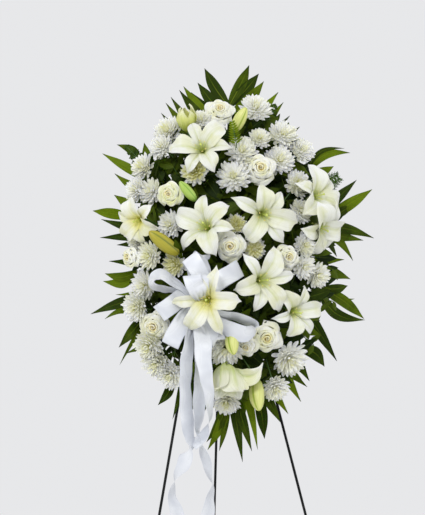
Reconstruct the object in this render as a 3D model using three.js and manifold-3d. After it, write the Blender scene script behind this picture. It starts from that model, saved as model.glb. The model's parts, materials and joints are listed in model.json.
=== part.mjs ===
// A standing funeral spray: white lilies, roses and spray chrysanthemums over palm and fern leaves,
// their stems pushed into a block of floral foam that hangs on a wire tripod easel, with a satin bow.
// Millimetres, +Z up, the front of the easel faces -Y, and the floor is Z = 0.
import * as THREE from 'three';
import { mergeVertices } from 'three/addons/utils/BufferGeometryUtils.js';
import Module from 'manifold-3d';

const wasm = await Module();
wasm.setup();
const { Manifold } = wasm;
const radians = THREE.MathUtils.degToRad;
const vec = (x, y, z) => new THREE.Vector3(x, y, z);

// Driving dimensions

const middleShift = { x: -20, y: 73 };      // moves the stand so that its outline is centred on the origin
const viewTurn = radians(-14);            // the bouquet is arranged to be seen from this far to the left
const easel = {
  apex: 1480,           // height where the centre lines of the two front legs would meet
  top: 1404,            // height of their cut upper ends
  halfSpread: 326,      // foot to middle, sideways
  frontReach: 260,      // apex to front feet, forwards
  rearReach: 235,       // apex to rear foot, backwards
  wire: 3.5,            // radius of a leg
  railWire: 3,
  upperRail: 1300,
  lowerRail: 1160,
  pinHeight: 1386,
  pinWire: 3,
  eyeHole: 3.7,         // inner radius of the rear leg's eye
  eyeWire: 2.8,
  eyeAcross: 9,         // the rear leg hangs right of the middle and splays a little further out
  rearAcross: 33,
  gap: 0.35,
};
const holder = {
  middle: 1250, width: 124, height: 244, trayDepth: 15, wall: 3, foamDepth: 90,
  hookWidth: 10, hookAcross: 26, hookWire: 3,
};
const dome = { across: 44, height: 1269, halfWidth: 300, halfHeight: 430, rim: 82, rise: 170 };
const stem = { thick: 2.6, thin: 1.9, sides: 5, holeGap: 0.35, forkShare: 0.6, frondRoot: 26, fernRoot: 37, bloomRoot: 46 };

const lean = Math.atan2(easel.frontReach, easel.apex);

// Places. "Across" and "height" are as the viewer sees the spray, in millimetres from the line
// through the easel's apex and from the floor; "out" is how far in front of the easel's face.

const planeY = height => -easel.frontReach * (easel.apex - height) / easel.apex;

function spot(across, height, out) {
  const y = planeY(height) - out;
  return vec((across - y * Math.sin(viewTurn)) / Math.cos(viewTurn), y, height);
}

function domeOut(across, height) {
  const sideways = (across - dome.across) / dome.halfWidth;
  const upright = (height - dome.height) / dome.halfHeight;
  return dome.rim + dome.rise * Math.sqrt(Math.max(0, 1 - sideways ** 2 - upright ** 2));
}

// Direction a bloom faces: degrees turned to the viewer's right and upwards.
function facing([right, up]) {
  const across = vec(Math.cos(viewTurn), Math.sin(viewTurn), 0);
  const toViewer = vec(Math.sin(viewTurn), -Math.cos(viewTurn), 0);
  return toViewer.multiplyScalar(Math.cos(radians(right)) * Math.cos(radians(up)))
    .addScaledVector(across, Math.sin(radians(right)) * Math.cos(radians(up)))
    .addScaledVector(vec(0, 0, 1), Math.sin(radians(up)));
}

// A bloom with no turn of its own looks outwards from the dome.
function outwardTurn([across, height]) {
  return [50 * (across - dome.across) / dome.halfWidth, 38 * (height - dome.height) / dome.halfHeight];
}

// Solids

function solidOf(geometry) {
  const bare = geometry.index ? geometry.toNonIndexed() : geometry.clone();
  bare.deleteAttribute('normal');
  bare.deleteAttribute('uv');
  const merged = mergeVertices(bare, 1e-4);
  return new Manifold(new wasm.Mesh({
    numProp: 3,
    vertProperties: new Float32Array(merged.attributes.position.array),
    triVerts: new Uint32Array(merged.index.array),
  }));
}

function geometryOf(solid) {
  const mesh = solid.getMesh();
  const geometry = new THREE.BufferGeometry();
  geometry.setAttribute('position', new THREE.BufferAttribute(new Float32Array(mesh.vertProperties), 3));
  geometry.setIndex(new THREE.BufferAttribute(new Uint32Array(mesh.triVerts), 1));
  const flat = geometry.toNonIndexed();
  flat.computeVertexNormals();
  return flat;
}

// Joins touching solids, keeps the body with the most volume and drops loose scraps.
function joined(solids) {
  const whole = Manifold.union(solids);
  return whole.decompose().sort((a, b) => b.volume() - a.volume())[0];
}

function fromTriangles(points, triangles) {
  const geometry = new THREE.BufferGeometry();
  geometry.setAttribute('position', new THREE.BufferAttribute(new Float32Array(points.flatMap(p => p.toArray())), 3));
  geometry.setIndex(triangles);
  return solidOf(geometry);
}

function rod(from, to, radiusFrom, radiusTo = radiusFrom, sides = stem.sides) {
  const along = to.clone().sub(from);
  const geometry = new THREE.CylinderGeometry(radiusTo, radiusFrom, along.length(), sides);
  geometry.translate(0, along.length() / 2, 0);
  geometry.applyQuaternion(new THREE.Quaternion().setFromUnitVectors(vec(0, 1, 0), along.normalize()));
  return solidOf(geometry.translate(from.x, from.y, from.z));
}

// A leaf or petal: each row has its centre, half width, side and face directions, thickness at the
// rib and how far its edges are lifted. The last row is a point, the first a small closed end.
function blade(rows) {
  const points = [];
  const triangles = [];
  rows.forEach(({ at, half, side, face, thick, lift = 0 }, i) => {
    if (i === rows.length - 1) {
      points.push(at);
      return;
    }
    const edge = at.clone().addScaledVector(face, lift);
    points.push(
      edge.clone().addScaledVector(side, -half),
      at.clone().addScaledVector(face, thick / 2),
      edge.clone().addScaledVector(side, half),
      at.clone().addScaledVector(face, -thick / 2),
    );
  });
  const tip = points.length - 1;
  for (let row = 0; row < rows.length - 2; row++) {
    for (let corner = 0; corner < 4; corner++) {
      const a = 4 * row + corner;
      const b = 4 * row + (corner + 1) % 4;
      triangles.push(a, a + 4, b, b, a + 4, b + 4);
    }
  }
  const last = tip - 4;
  for (let corner = 0; corner < 4; corner++) triangles.push(last + corner, tip, last + (corner + 1) % 4);
  triangles.push(0, 1, 2, 0, 2, 3);
  return fromTriangles(points, triangles);
}

// Puts a solid modelled round +Z with its base at the origin where a bloom stands.
function placed(solid, at, direction, spin = 0) {
  const turn = new THREE.Quaternion().setFromUnitVectors(vec(0, 0, 1), direction);
  turn.multiply(new THREE.Quaternion().setFromAxisAngle(vec(0, 0, 1), radians(spin)));
  const matrix = new THREE.Matrix4().compose(at, turn, vec(1, 1, 1));
  return solid.transform(matrix.elements);
}

// Blooms, each round +Z

// One petal of a lily: its mid line in radius and height, and its half widths.
const lilyLine = [[8, 16], [28, 46], [50, 55], [70, 50], [83, 40]];
const innerHalf = [5, 18, 26, 19];
const outerHalf = [4, 11, 17, 12];

function lilySolid(radius) {
  const scale = radius / lilyLine[lilyLine.length - 1][0];
  const petals = [];
  for (let k = 0; k < 6; k++) {
    const inner = k % 2 === 0;
    const angle = k * Math.PI / 3;
    const outward = vec(Math.cos(angle), Math.sin(angle), 0);
    const side = vec(-Math.sin(angle), Math.cos(angle), 0);
    petals.push(blade(lilyLine.map(([r, h], i) => {
      const before = lilyLine[Math.max(0, i - 1)];
      const after = lilyLine[Math.min(lilyLine.length - 1, i + 1)];
      const slope = Math.atan2(after[1] - before[1], after[0] - before[0]);
      return {
        at: outward.clone().multiplyScalar(r * scale).setZ(h * scale - (inner ? 0 : 2.6)),
        half: (inner ? innerHalf : outerHalf)[i] * scale,
        side,
        face: outward.clone().multiplyScalar(-Math.sin(slope)).setZ(Math.cos(slope)),
        thick: 2,
        lift: (inner ? 2.5 : 1.5) * scale,
      };
    })));
  }
  const throat = solidOf(new THREE.CylinderGeometry(14 * scale, 2.8, 30 * scale, 6)
    .rotateX(Math.PI / 2).translate(0, 0, 9 * scale));
  const pistil = solidOf(new THREE.CylinderGeometry(1.9, 1.2, 40 * scale, 3)
    .rotateX(Math.PI / 2).translate(0, 0, 42 * scale));
  return Manifold.union([throat, pistil, ...petals]);
}

// A bloom whose whorls are rings of points, tips and notches by turns, over a stalk that runs back
// to its own root. The rings go from the widest upwards, and the top closes on one point.
function ringedBloom({ rings, columns, top, neck, radius, at, direction, spin, stalk }) {
  const turn = new THREE.Quaternion().setFromUnitVectors(vec(0, 0, 1), direction);
  turn.multiply(new THREE.Quaternion().setFromAxisAngle(vec(0, 0, 1), radians(spin)));
  const world = (r, h, angle) => vec(r * Math.cos(angle), r * Math.sin(angle), h)
    .multiplyScalar(radius).applyQuaternion(turn).add(at);
  const points = [];
  const triangles = [];
  rings.forEach(({ tip, notch, lobes }, ring) => {
    const period = columns / lobes;
    for (let c = 0; c < columns; c++) {
      const [r, h] = (c + ring) % period === 0 ? tip : notch;
      points.push(world(r, h, 2 * Math.PI * c / columns));
    }
  });
  const crown = points.length - columns;
  points.push(world(0, top, 0));
  for (let c = 0; c < columns; c++) {
    const next = (c + 1) % columns;
    for (let ring = 0; ring < rings.length - 1; ring++) {
      const a = ring * columns + c;
      const b = ring * columns + next;
      // The quad is split along the ridge that runs up to the tip of the ring above.
      if ((c + ring) % 2 === 0) triangles.push(a, b, b + columns, a, b + columns, a + columns);
      else triangles.push(a, b, a + columns, b, b + columns, a + columns);
    }
    triangles.push(crown + c, crown + next, points.length - 1);
  }
  const under = world(0, neck, 0);
  const along = under.clone().sub(stalk.root).normalize();
  const first = vec(1, 0, 0).applyQuaternion(turn);
  first.addScaledVector(along, -first.dot(along)).normalize();
  const second = new THREE.Vector3().crossVectors(along, first);
  const upper = points.length;
  const lower = upper + stalk.sides;
  for (const centre of [under, stalk.root]) {
    for (let j = 0; j < stalk.sides; j++) {
      const angle = 2 * Math.PI * (j + 0.5) / stalk.sides - Math.PI / columns;
      points.push(centre.clone().addScaledVector(first, stalk.radius * Math.cos(angle))
        .addScaledVector(second, stalk.radius * Math.sin(angle)));
    }
  }
  const corner = c => Math.floor(c * stalk.sides / columns);
  for (let c = 0; c < columns; c++) {
    const next = (c + 1) % columns;
    const [j, k] = [corner(c), corner(next)];
    triangles.push(upper + j, next, c);
    if (j !== k) triangles.push(upper + j, upper + k, next, upper + k, upper + j, lower + j,
      upper + k, lower + j, lower + k);
    if (c > 1 && c < stalk.sides) triangles.push(lower, lower + c, lower + c - 1);
  }
  return fromTriangles(points, triangles);
}

// Ray petals of a chrysanthemum, each ring's tips over the notches of the ring below.
const chrysanthemumShape = {
  columns: 14, top: 0.6, neck: -0.4,
  rings: [
    { tip: [1.0, 0.06], notch: [0.66, -0.06], lobes: 7 },
    { tip: [0.84, 0.42], notch: [0.5, 0.26], lobes: 7 },
    { tip: [0.5, 0.72], notch: [0.24, 0.56], lobes: 7 },
  ],
};
// The cups of a rose one inside the other: belly, outer rim, the gap behind it, inner rim, gap, heart.
const roseShape = {
  columns: 10, top: 0.5, neck: -0.42,
  rings: [
    { tip: [0.72, -0.12], notch: [0.64, -0.12], lobes: 5 },
    { tip: [1.0, 0.36], notch: [0.8, 0.22], lobes: 5 },
    { tip: [0.7, 0.2], notch: [0.64, 0.16], lobes: 5 },
    { tip: [0.62, 0.6], notch: [0.54, 0.5], lobes: 5 },
    { tip: [0.34, 0.36], notch: [0.3, 0.34], lobes: 5 },
    { tip: [0.26, 0.68], notch: [0.2, 0.58], lobes: 5 },
  ],
};

// A closed lily bud standing on its base, with three faint seams.
function budSolid(length, radius) {
  const profile = [[0, -0.02], [0.35, 0.04], [0.85, 0.3], [1, 0.55], [0.75, 0.82], [0.3, 0.97], [0, 1]]
    .map(([r, h]) => new THREE.Vector2(r * radius, h * length));
  return solidOf(new THREE.LatheGeometry(profile, 6).rotateX(Math.PI / 2));
}

// The arrangement. A turn is [right, up] in degrees; a lift is how far a bloom's base stands
// above the dome's surface, or below it.

const lilies = {
  lily_top: { at: [-38, 1529], turn: [-9, 18], radius: 80, lift: 6, spin: 40,
    bud: { at: [-83, 1620], lift: 16, length: 66, radius: 17, lie: -6 } },
  lily_upper_left: { at: [-22, 1329], turn: [-18, 14], radius: 82, lift: 5, spin: 9,
    bud: { at: [-78, 1428], lift: 18, length: 68, radius: 13, lie: -40 } },
  lily_upper_right: { at: [109, 1372], turn: [12, -6], radius: 84, lift: 6, spin: 104 },
  lily_bow: { at: [-22, 1152], turn: [-10, -4], radius: 86, lift: 48, spin: 95, depth: 60 },
  lily_lower_right: { at: [98, 1199], turn: [24, 0], radius: 84, lift: 6, spin: 73 },
  lily_right_low: { at: [180, 1121], turn: [34, -8], radius: 74, lift: -10, spin: 34 },
  lily_bottom: { at: [21, 978], turn: [4, -58], radius: 72, lift: 0, spin: 58,
    bud: { at: [103, 903], lift: 0, length: 86, radius: 20, lie: 176 } },
  lily_left: { at: [-200, 1371], turn: [-34, -14], radius: 66, lift: 10, spin: 52,
    bud: { at: [-139, 1295], lift: 18, length: 100, radius: 19, lie: -52 } },
  lily_right_high: { at: [236, 1412], turn: [58, 14], radius: 62, lift: -6, spin: 10, depth: 60 },
  lily_right_edge: { at: [250, 1345], turn: [60, -30], radius: 56, lift: -10, spin: 40 },
};
const roses = {
  rose_top: { heads: [{ at: [5, 1638], turn: [0, 22], radius: 38, lift: 0 }] },
  rose_left: { heads: [{ at: [-120, 1420], turn: [-22, 4], radius: 37, lift: 0 }] },
  rose_upper: { heads: [{ at: [109, 1489], turn: [6, 8], radius: 37, lift: 0 }] },
  rose_middle: { heads: [{ at: [30, 1287], turn: [2, -4], radius: 36, lift: 0 }] },
  rose_left_low: { heads: [{ at: [-162, 1082], turn: [-20, -14], radius: 38, lift: -16 }] },
  rose_pair: { heads: [{ at: [122, 1053], turn: [12, -14], radius: 38, lift: 0 },
    { at: [72, 1029], turn: [-4, -20], radius: 26, lift: -8 }] },
  rose_right: { heads: [{ at: [179, 1259], turn: [22, 0], radius: 30, lift: 0 }] },
  rose_left_edge: { depth: 37, heads: [{ at: [-226, 1258], turn: [-46, 0], radius: 26, lift: 0 }] },
};
const chrysanthemums = {
  mum_top_left: [[-44, 1615, 26], [-130, 1587, 36], [-147, 1545, 31]],
  mum_left_high: [[-195, 1493, 32], [-211, 1433, 31], [-174, 1428, 32, -10]],
  mum_top: [[99, 1649, 37], [109, 1568, 26], [62, 1534, 37]],
  mum_top_right: [[169, 1579, 36], [221, 1538, 31], [159, 1511, 37]],
  mum_right_high: [[208, 1449, 33], [213, 1377, 29]],
  mum_right: [[225, 1290, 29], [222, 1233, 30], [259, 1211, 31]],
  mum_upper: [[-60, 1480, 34], [39, 1466, 38]],
  mum_middle: [[47, 1343, 24, -8], [93, 1279, 26, -16]],
  mum_left: [[-123, 1342, 32, -14], [-112, 1239, 30, -20]],
  mum_left_middle: [[-176, 1262, 33], [-211, 1298, 24, -32], [-190, 1186, 34, -16]],
  mum_left_low: [[-211, 1130, 34], [-177, 1030, 33], [-158, 984, 33], [-122, 956, 31]],
  mum_right_low: [[185, 995, 42], [148, 921, 33]],
  mum_bottom: [[21, 886, 35, -26]],
  mum_under_bow: [[14, 1030, 29, -10]],
};
const buds = {
  bud_top: { at: [56, 1610], lift: 14, length: 76, radius: 12, lie: 32 },
  bud_under_bow: { at: [38, 1046], lift: 12, length: 60, radius: 17, lie: 176 },
};

// Palm fronds, by where the tip of the rib lies, and ferns. A spread is the angle of the end and
// of the lowest leaflets from the rib, in degrees.
const fronds = {
  frond_top: { tip: [29, 1662], out: 34, pairs: 7, leaf: 112, step: 27, spread: [28, 62] },
  frond_bottom: { tip: [29, 872], out: 62, pairs: 6, leaf: 128, step: 27, spread: [16, 50] },
  frond_upper_right: { tip: [236, 1482], out: 18, pairs: 3, leaf: 124, step: 30, spread: [22, 48] },
  frond_right: { tip: [308, 1362], out: 34, pairs: 4, leaf: 104, step: 28, spread: [28, 60] },
  frond_right_low: { tip: [282, 1176], out: 18, pairs: 4, leaf: 108, step: 28, spread: [24, 58] },
  frond_lower_right: { tip: [214, 1018], out: 34, pairs: 4, leaf: 112, step: 28, spread: [22, 54] },
  frond_bottom_right: { tip: [104, 908], out: 46, pairs: 4, leaf: 122, step: 28, spread: [20, 50] },
  frond_upper_left: { tip: [-206, 1496], out: 18, pairs: 4, leaf: 108, step: 28, spread: [24, 54] },
  frond_left: { tip: [-228, 1364], out: 34, pairs: 4, leaf: 104, step: 28, spread: [24, 56] },
  frond_left_middle: { tip: [-212, 1222], out: 18, pairs: 4, leaf: 92, step: 27, spread: [26, 58] },
  frond_left_low: { tip: [-222, 1096], out: 34, pairs: 4, leaf: 112, step: 28, spread: [22, 56] },
  frond_bottom_left: { tip: [-122, 948], out: 50, pairs: 4, leaf: 118, step: 28, spread: [22, 52] },
};
const ferns = {
  fern_right: { tip: [318, 1470], out: 62, pairs: 8, leaf: 40, step: 15, spread: [60, 74] },
  fern_top: { tip: [150, 1660], out: 60, pairs: 8, leaf: 40, step: 15, spread: [60, 74] },
  fern_left: { tip: [-236, 1545], out: 60, pairs: 8, leaf: 40, step: 15, spread: [60, 74] },
};

// Stems. Each runs in towards a root in the foam, drawn in so that no two cross.

const foamMiddle = vec(0, planeY(holder.middle), holder.middle);
const rootShare = { across: 0.15, height: 0.25 };
const rootLimit = { across: 40, height: 100 };

function rootOf(target, depth) {
  const limit = THREE.MathUtils.clamp;
  const across = limit(rootShare.across * (target.x - foamMiddle.x), -rootLimit.across, rootLimit.across);
  const height = limit(rootShare.height * (target.z - foamMiddle.z), -rootLimit.height, rootLimit.height);
  return vec(across, planeY(holder.middle + height) - depth, holder.middle + height);
}

const holes = [];

// Sinks a plain hole for a stem: its flats clear the stem's corners by the gap.
function foamHole(root, target) {
  const outwards = target.clone().sub(root).normalize();
  const radius = (stem.thick + stem.holeGap) / Math.cos(Math.PI / stem.sides);
  holes.push(rod(root.clone().addScaledVector(outwards, -1), root.clone().addScaledVector(outwards, 160), radius));
}

function stemTo(target, root = rootOf(target, stem.bloomRoot)) {
  foamHole(root, target);
  return rod(root, target, stem.thick);
}

function headPlace({ at, lift = 0 }) {
  return spot(at[0], at[1], domeOut(...at) + lift);
}

function budOn({ at, lift, length, radius, lie }) {
  const middle = headPlace({ at, lift });
  const along = vec(Math.cos(viewTurn), Math.sin(viewTurn), 0).multiplyScalar(Math.sin(radians(lie)))
    .addScaledVector(vec(0, 0, 1), Math.cos(radians(lie)))
    .addScaledVector(facing([0, 0]), 0.35).normalize();
  const base = middle.clone().addScaledVector(along, -length / 2);
  return { base, solid: placed(budSolid(length, radius), base, along) };
}

function lilyNode({ at, turn, radius, lift, spin, bud, depth = stem.bloomRoot }) {
  const throat = headPlace({ at, lift: lift - 30 });
  const root = rootOf(throat, depth);
  const solids = [placed(lilySolid(radius), throat, facing(turn), spin), stemTo(throat, root)];
  if (bud) {
    const { base, solid } = budOn(bud);
    const fork = root.clone().lerp(throat, stem.forkShare);
    solids.push(solid, rod(fork, base, stem.thin));
  }
  return joined(solids);
}

function roseNode({ heads, depth = stem.bloomRoot }) {
  const bases = heads.map(head => headPlace({ at: head.at, lift: (head.lift ?? 0) - 0.5 * head.radius }));
  const neck = bases[0].clone().addScaledVector(facing(heads[0].turn), roseShape.neck * heads[0].radius);
  const root = rootOf(neck, depth);
  foamHole(root, neck);
  const fork = root.clone().lerp(neck, stem.forkShare);
  return joined(heads.map((head, i) => ringedBloom({
    ...roseShape, radius: head.radius, at: bases[i], direction: facing(head.turn), spin: 25 * i,
    stalk: i === 0 ? { root, radius: stem.thick, sides: stem.sides } : { root: fork, radius: stem.thin, sides: 4 },
  })));
}

function chrysanthemumNode(heads) {
  const bases = heads.map(([across, height, radius, lift = 0]) =>
    headPlace({ at: [across, height], lift: lift - 0.6 * radius }));
  const middle = bases.reduce((sum, base) => sum.add(base), vec(0, 0, 0)).divideScalar(bases.length);
  const root = rootOf(middle, stem.bloomRoot);
  const fork = root.clone().lerp(middle, stem.forkShare);
  const inwards = root.clone().sub(fork).normalize();
  // The stalks leave the stem one below the other.
  const blooms = heads.map(([across, height, radius], i) => ringedBloom({
    ...chrysanthemumShape, radius, at: bases[i], direction: facing(outwardTurn([across, height])), spin: 11 * i,
    stalk: { root: fork.clone().addScaledVector(inwards, 2 + 3 * i), radius: stem.thin, sides: 4 },
  }));
  return joined([stemTo(fork, root), ...blooms]);
}

function budNode(bud) {
  const { base, solid } = budOn(bud);
  return joined([solid, stemTo(base, rootOf(base, bud.depth ?? stem.bloomRoot))]);
}

// A frond is cut from one thin sheet, arched over its length and drooping to its leaflets' tips.
function leafletPoints(base, angle, length, half, plain) {
  const along = new THREE.Vector2(Math.sin(angle), Math.cos(angle));
  const aside = new THREE.Vector2(Math.cos(angle), -Math.sin(angle));
  const point = (share, width) => base.clone().addScaledVector(along, share * length)
    .addScaledVector(aside, width * half);
  if (plain) return [point(0.1, 0.9), point(1, 0), point(0.1, -0.9)];
  return [point(0.06, 0.5), point(0.42, 1), point(1, 0), point(0.42, -1), point(0.06, -0.5)];
}

function frondOutline({ pairs, leaf, step, spread, half, rib, taper, plain }) {
  const angleAt = share => radians(THREE.MathUtils.lerp(spread[1], spread[0], share));
  const rightSide = [new THREE.Vector2(rib, -8)];
  for (let i = 0; i < pairs; i++) {
    const share = i / (pairs - 1);
    const angle = angleAt(share);
    const length = leaf * (1 - taper * share);
    // A leaflet is no wider than the room up to the next one, and the end pair leaves a notch.
    const room = i < pairs - 1
      ? (step * Math.sin(angle) + 0.42 * length * Math.sin(angle - angleAt((i + 1) / (pairs - 1)))) / 2
      : 0.42 * length * Math.tan(angle);
    const base = new THREE.Vector2(rib, i * step);
    rightSide.push(...leafletPoints(base, angle, length, Math.min(half, room - 0.8), plain));
  }
  const leftSide = rightSide.map(p => new THREE.Vector2(-p.x, p.y)).reverse();
  return new THREE.Shape([...rightSide, ...leftSide]);
}

function frondNode({ tip, out, pairs, leaf, step, spread }, cut) {
  const { thick, arch, droop } = cut;
  const end = spot(tip[0], tip[1], out);
  const root = rootOf(end, cut.rootDepth);
  const along = end.clone().sub(root).normalize();
  const face = facing([0, 0]).addScaledVector(along, -facing([0, 0]).dot(along)).normalize();
  const side = new THREE.Vector3().crossVectors(along, face);
  const ribLength = (pairs - 1) * step;
  const foot = end.clone().addScaledVector(along, -ribLength);
  const geometry = new THREE.ExtrudeGeometry(frondOutline({ pairs, leaf, step, spread, ...cut }),
    { depth: thick, bevelEnabled: false });
  const position = geometry.getAttribute('position');
  for (let i = 0; i < position.count; i++) {
    const [x, y, z] = [position.getX(i), position.getY(i), position.getZ(i)];
    const rise = z - thick / 2 - droop * (Math.abs(x) / 100) ** 2 - arch * (Math.max(0, y) / 100) ** 2;
    const point = foot.clone().addScaledVector(side, x).addScaledVector(along, y).addScaledVector(face, rise);
    position.setXYZ(i, point.x, point.y, point.z);
  }
  return joined([solidOf(geometry), stemTo(foot, root)]);
}

// Ribbon

const ribbon = { width: 42, thick: 1.2, knot: [-66, 1136], knotOut: 216, tailOut: 44, rootDepth: 34 };
// Loops by their direction, clockwise from straight up, their length and how far they tip open.
const loops = [
  { lie: -62, length: 128, open: 42 },
  { lie: -91, length: 104, open: 8 },
  { lie: -147, length: 122, open: 8 },
  { lie: 0, length: 130, open: 10 },
  { lie: 41, length: 156, open: 10 },
  { lie: 107, length: 160, open: 26 },
];
// Tails as the viewer sees them, each with its depth in front of the knot.
const tails = [
  { depth: 0, points: [[-66, 1136], [-64, 1080], [-81, 986], [-83, 897], [-70, 809], [-57, 757],
    [-34, 692], [-23, 640], [-31, 588], [-39, 536]] },
  { depth: 12, points: [[-66, 1136], [-44, 1080], [-36, 991], [-29, 897], [-23, 822], [-39, 783],
    [-73, 752], [-96, 710], [-114, 653], [-109, 588], [-96, 531]] },
  { depth: -12, points: [[-66, 1136], [-52, 1080], [-49, 991], [-50, 897], [-55, 822], [-58, 770]] },
];

// A band of ribbon through the centres; at each it has a direction and a share of its full width.
function band(centres, sides, shares) {
  const points = [];
  const triangles = [];
  centres.forEach((centre, i) => {
    const before = centres[Math.max(0, i - 1)];
    const after = centres[Math.min(centres.length - 1, i + 1)];
    const face = new THREE.Vector3().crossVectors(after.clone().sub(before), sides[i]).normalize();
    for (const [across, through] of [[-1, 1], [1, 1], [1, -1], [-1, -1]]) {
      points.push(centre.clone().addScaledVector(sides[i], across * shares[i] * ribbon.width / 2)
        .addScaledVector(face, through * ribbon.thick / 2));
    }
  });
  for (let row = 0; row < centres.length - 1; row++) {
    for (let corner = 0; corner < 4; corner++) {
      const a = 4 * row + corner;
      const b = 4 * row + (corner + 1) % 4;
      triangles.push(a, a + 4, b, b, a + 4, b + 4);
    }
  }
  const last = points.length - 4;
  triangles.push(0, 1, 2, 0, 2, 3, last, last + 2, last + 1, last, last + 3, last + 2);
  return fromTriangles(points, triangles);
}

// A loop leaves the knot gathered, swells out and comes back below itself.
const loopLine = [[0.1, 0.03, 0.25], [0.34, 0.16, 0.9], [0.68, 0.2, 1], [0.94, 0.1, 1], [0.96, -0.05, 1],
  [0.62, -0.13, 1], [0.3, -0.08, 0.8], [0.1, -0.03, 0.25]];

function loopBand(knot, { lie, length, open }) {
  const outwards = vec(Math.cos(viewTurn), Math.sin(viewTurn), 0).multiplyScalar(Math.sin(radians(lie)))
    .addScaledVector(vec(0, 0, 1), Math.cos(radians(lie)));
  const front = facing([0, 0]);
  const side = new THREE.Vector3().crossVectors(outwards, front).multiplyScalar(Math.cos(radians(open)))
    .addScaledVector(front, Math.sin(radians(open)));
  const centres = loopLine.map(([along, rise]) =>
    knot.clone().addScaledVector(outwards, along * length).addScaledVector(front, rise * length));
  return band(centres, centres.map(() => side), loopLine.map(([, , share]) => share));
}

function tailBand({ depth, points }) {
  const start = spot(ribbon.knot[0], ribbon.knot[1], ribbon.knotOut).y;
  const across = vec(Math.cos(viewTurn), Math.sin(viewTurn), 0);
  const centres = points.map(([x, height], i) => {
    const y = start - ribbon.tailOut * Math.min(1, i / 2) - depth * Math.min(1, i);
    return vec((x - y * Math.sin(viewTurn)) / Math.cos(viewTurn), y, height);
  });
  return band(centres, centres.map(() => across), centres.map((_, i) => Math.min(1, 0.25 + 0.75 * i)));
}

function bowNode() {
  const knot = spot(ribbon.knot[0], ribbon.knot[1], ribbon.knotOut);
  const wrap = solidOf(new THREE.SphereGeometry(16, 8, 6).translate(knot.x, knot.y, knot.z));
  return joined([wrap, stemTo(knot, rootOf(knot, ribbon.rootDepth)), ...loops.map(loop => loopBand(knot, loop)), ...tails.map(tailBand)]);
}

// Easel and holder

const legPoint = (side, height) =>
  vec(side * easel.halfSpread * (easel.apex - height) / easel.apex, planeY(height), height);

function cutFlat(solid, low, high) {
  return solid.splitByPlane([0, 0, 1], low)[0].splitByPlane([0, 0, -1], -high)[0];
}

function frontLegNode(side) {
  const down = legPoint(side, -20);
  return cutFlat(rod(down, legPoint(side, easel.top + 20), easel.wire, easel.wire, 12), 0, easel.top);
}

// A wire across the easel that stops just short of the front legs.
function crossWire(height, radius) {
  const middle = legPoint(0, height);
  const reach = legPoint(1, height + radius).x
    - (easel.wire + easel.gap) / Math.cos(Math.atan(easel.halfSpread / easel.apex));
  return rod(middle.clone().setX(-reach), middle.clone().setX(reach), radius, radius, 12);
}

function rearLegNode() {
  const pin = legPoint(0, easel.pinHeight).setX(easel.eyeAcross);
  const eyeMiddle = easel.eyeHole + easel.eyeWire;
  const foot = vec(easel.rearAcross, easel.rearReach, 0);
  const along = foot.clone().sub(pin).normalize();
  const start = pin.clone().addScaledVector(along, eyeMiddle);
  const leg = cutFlat(rod(start, foot.clone().addScaledVector(along, 20), easel.wire, easel.wire, 12), 0, easel.apex);
  const eye = solidOf(new THREE.TorusGeometry(eyeMiddle, easel.eyeWire, 6, 14).rotateY(Math.PI / 2)
    .translate(pin.x, pin.y, pin.z));
  const bore = rod(pin.clone().setX(pin.x - 20), pin.clone().setX(pin.x + 20), easel.eyeHole, easel.eyeHole, 14);
  return joined([leg, eye]).subtract(bore);
}

// A point on the holder: across, up from its middle along the easel's face, and out from the face.
function onHolder(across, up, out) {
  const origin = vec(0, planeY(holder.middle), holder.middle);
  const upwards = vec(0, Math.sin(lean), Math.cos(lean));
  const outwards = vec(0, -Math.cos(lean), Math.sin(lean));
  return origin.add(vec(across, 0, 0)).addScaledVector(upwards, up).addScaledVector(outwards, out);
}

function holderBox(width, height, from, to, up = 0, across = 0) {
  const geometry = new THREE.BoxGeometry(width, to - from, height).rotateX(-lean);
  const centre = onHolder(across, up, (from + to) / 2);
  return solidOf(geometry.translate(centre.x, centre.y, centre.z));
}

const trayBack = easel.wire + easel.gap;
const foamBack = trayBack + holder.wall + easel.gap;

function trayNode() {
  const { width, height, trayDepth, wall, hookWidth, hookAcross, hookWire } = holder;
  const shell = holderBox(width, height, trayBack, trayBack + trayDepth)
    .subtract(holderBox(width - 2 * wall, height - 2 * wall, trayBack + wall, trayBack + trayDepth + 10));
  const railUp = (easel.upperRail - holder.middle) / Math.cos(lean);
  const over = railUp + easel.railWire + easel.gap;
  const hooks = [-hookAcross, hookAcross].flatMap(across => [
    holderBox(hookWidth, hookWire, -easel.railWire - easel.gap - hookWire, trayBack + wall, over + hookWire / 2, across),
    holderBox(hookWidth, 14, -easel.railWire - easel.gap - hookWire, -easel.railWire - easel.gap, over - 4, across),
  ]);
  return joined([shell, ...hooks]);
}

function foamNode() {
  const block = holderBox(holder.width - 2 * holder.wall - 2 * easel.gap,
    holder.height - 2 * holder.wall - 2 * easel.gap, foamBack, foamBack + holder.foamDepth);
  return block.subtract(Manifold.union(holes));
}

// Colours

const paint = (color, roughness, metalness = 0) =>
  () => new THREE.MeshStandardMaterial({ color, roughness, metalness, flatShading: true });
const finish = {
  wire: paint(0x15181a, 0.45, 0.4),
  tray: paint(0x2d5a2a, 0.5),
  foam: paint(0x2f6b3a, 0.95),
  lily: paint(0xf4f3e6, 0.6),
  rose: paint(0xf6f0dc, 0.65),
  chrysanthemum: paint(0xf7f7ee, 0.7),
  bud: paint(0xc9cf6a, 0.5),
  palm: paint(0x3d7016, 0.45),
  fern: paint(0x2c5216, 0.6),
  satin: paint(0xf3f5fb, 0.3),
};

// The part

const spray = new THREE.Group();
spray.position.set(middleShift.x, middleShift.y, 0);

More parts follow.
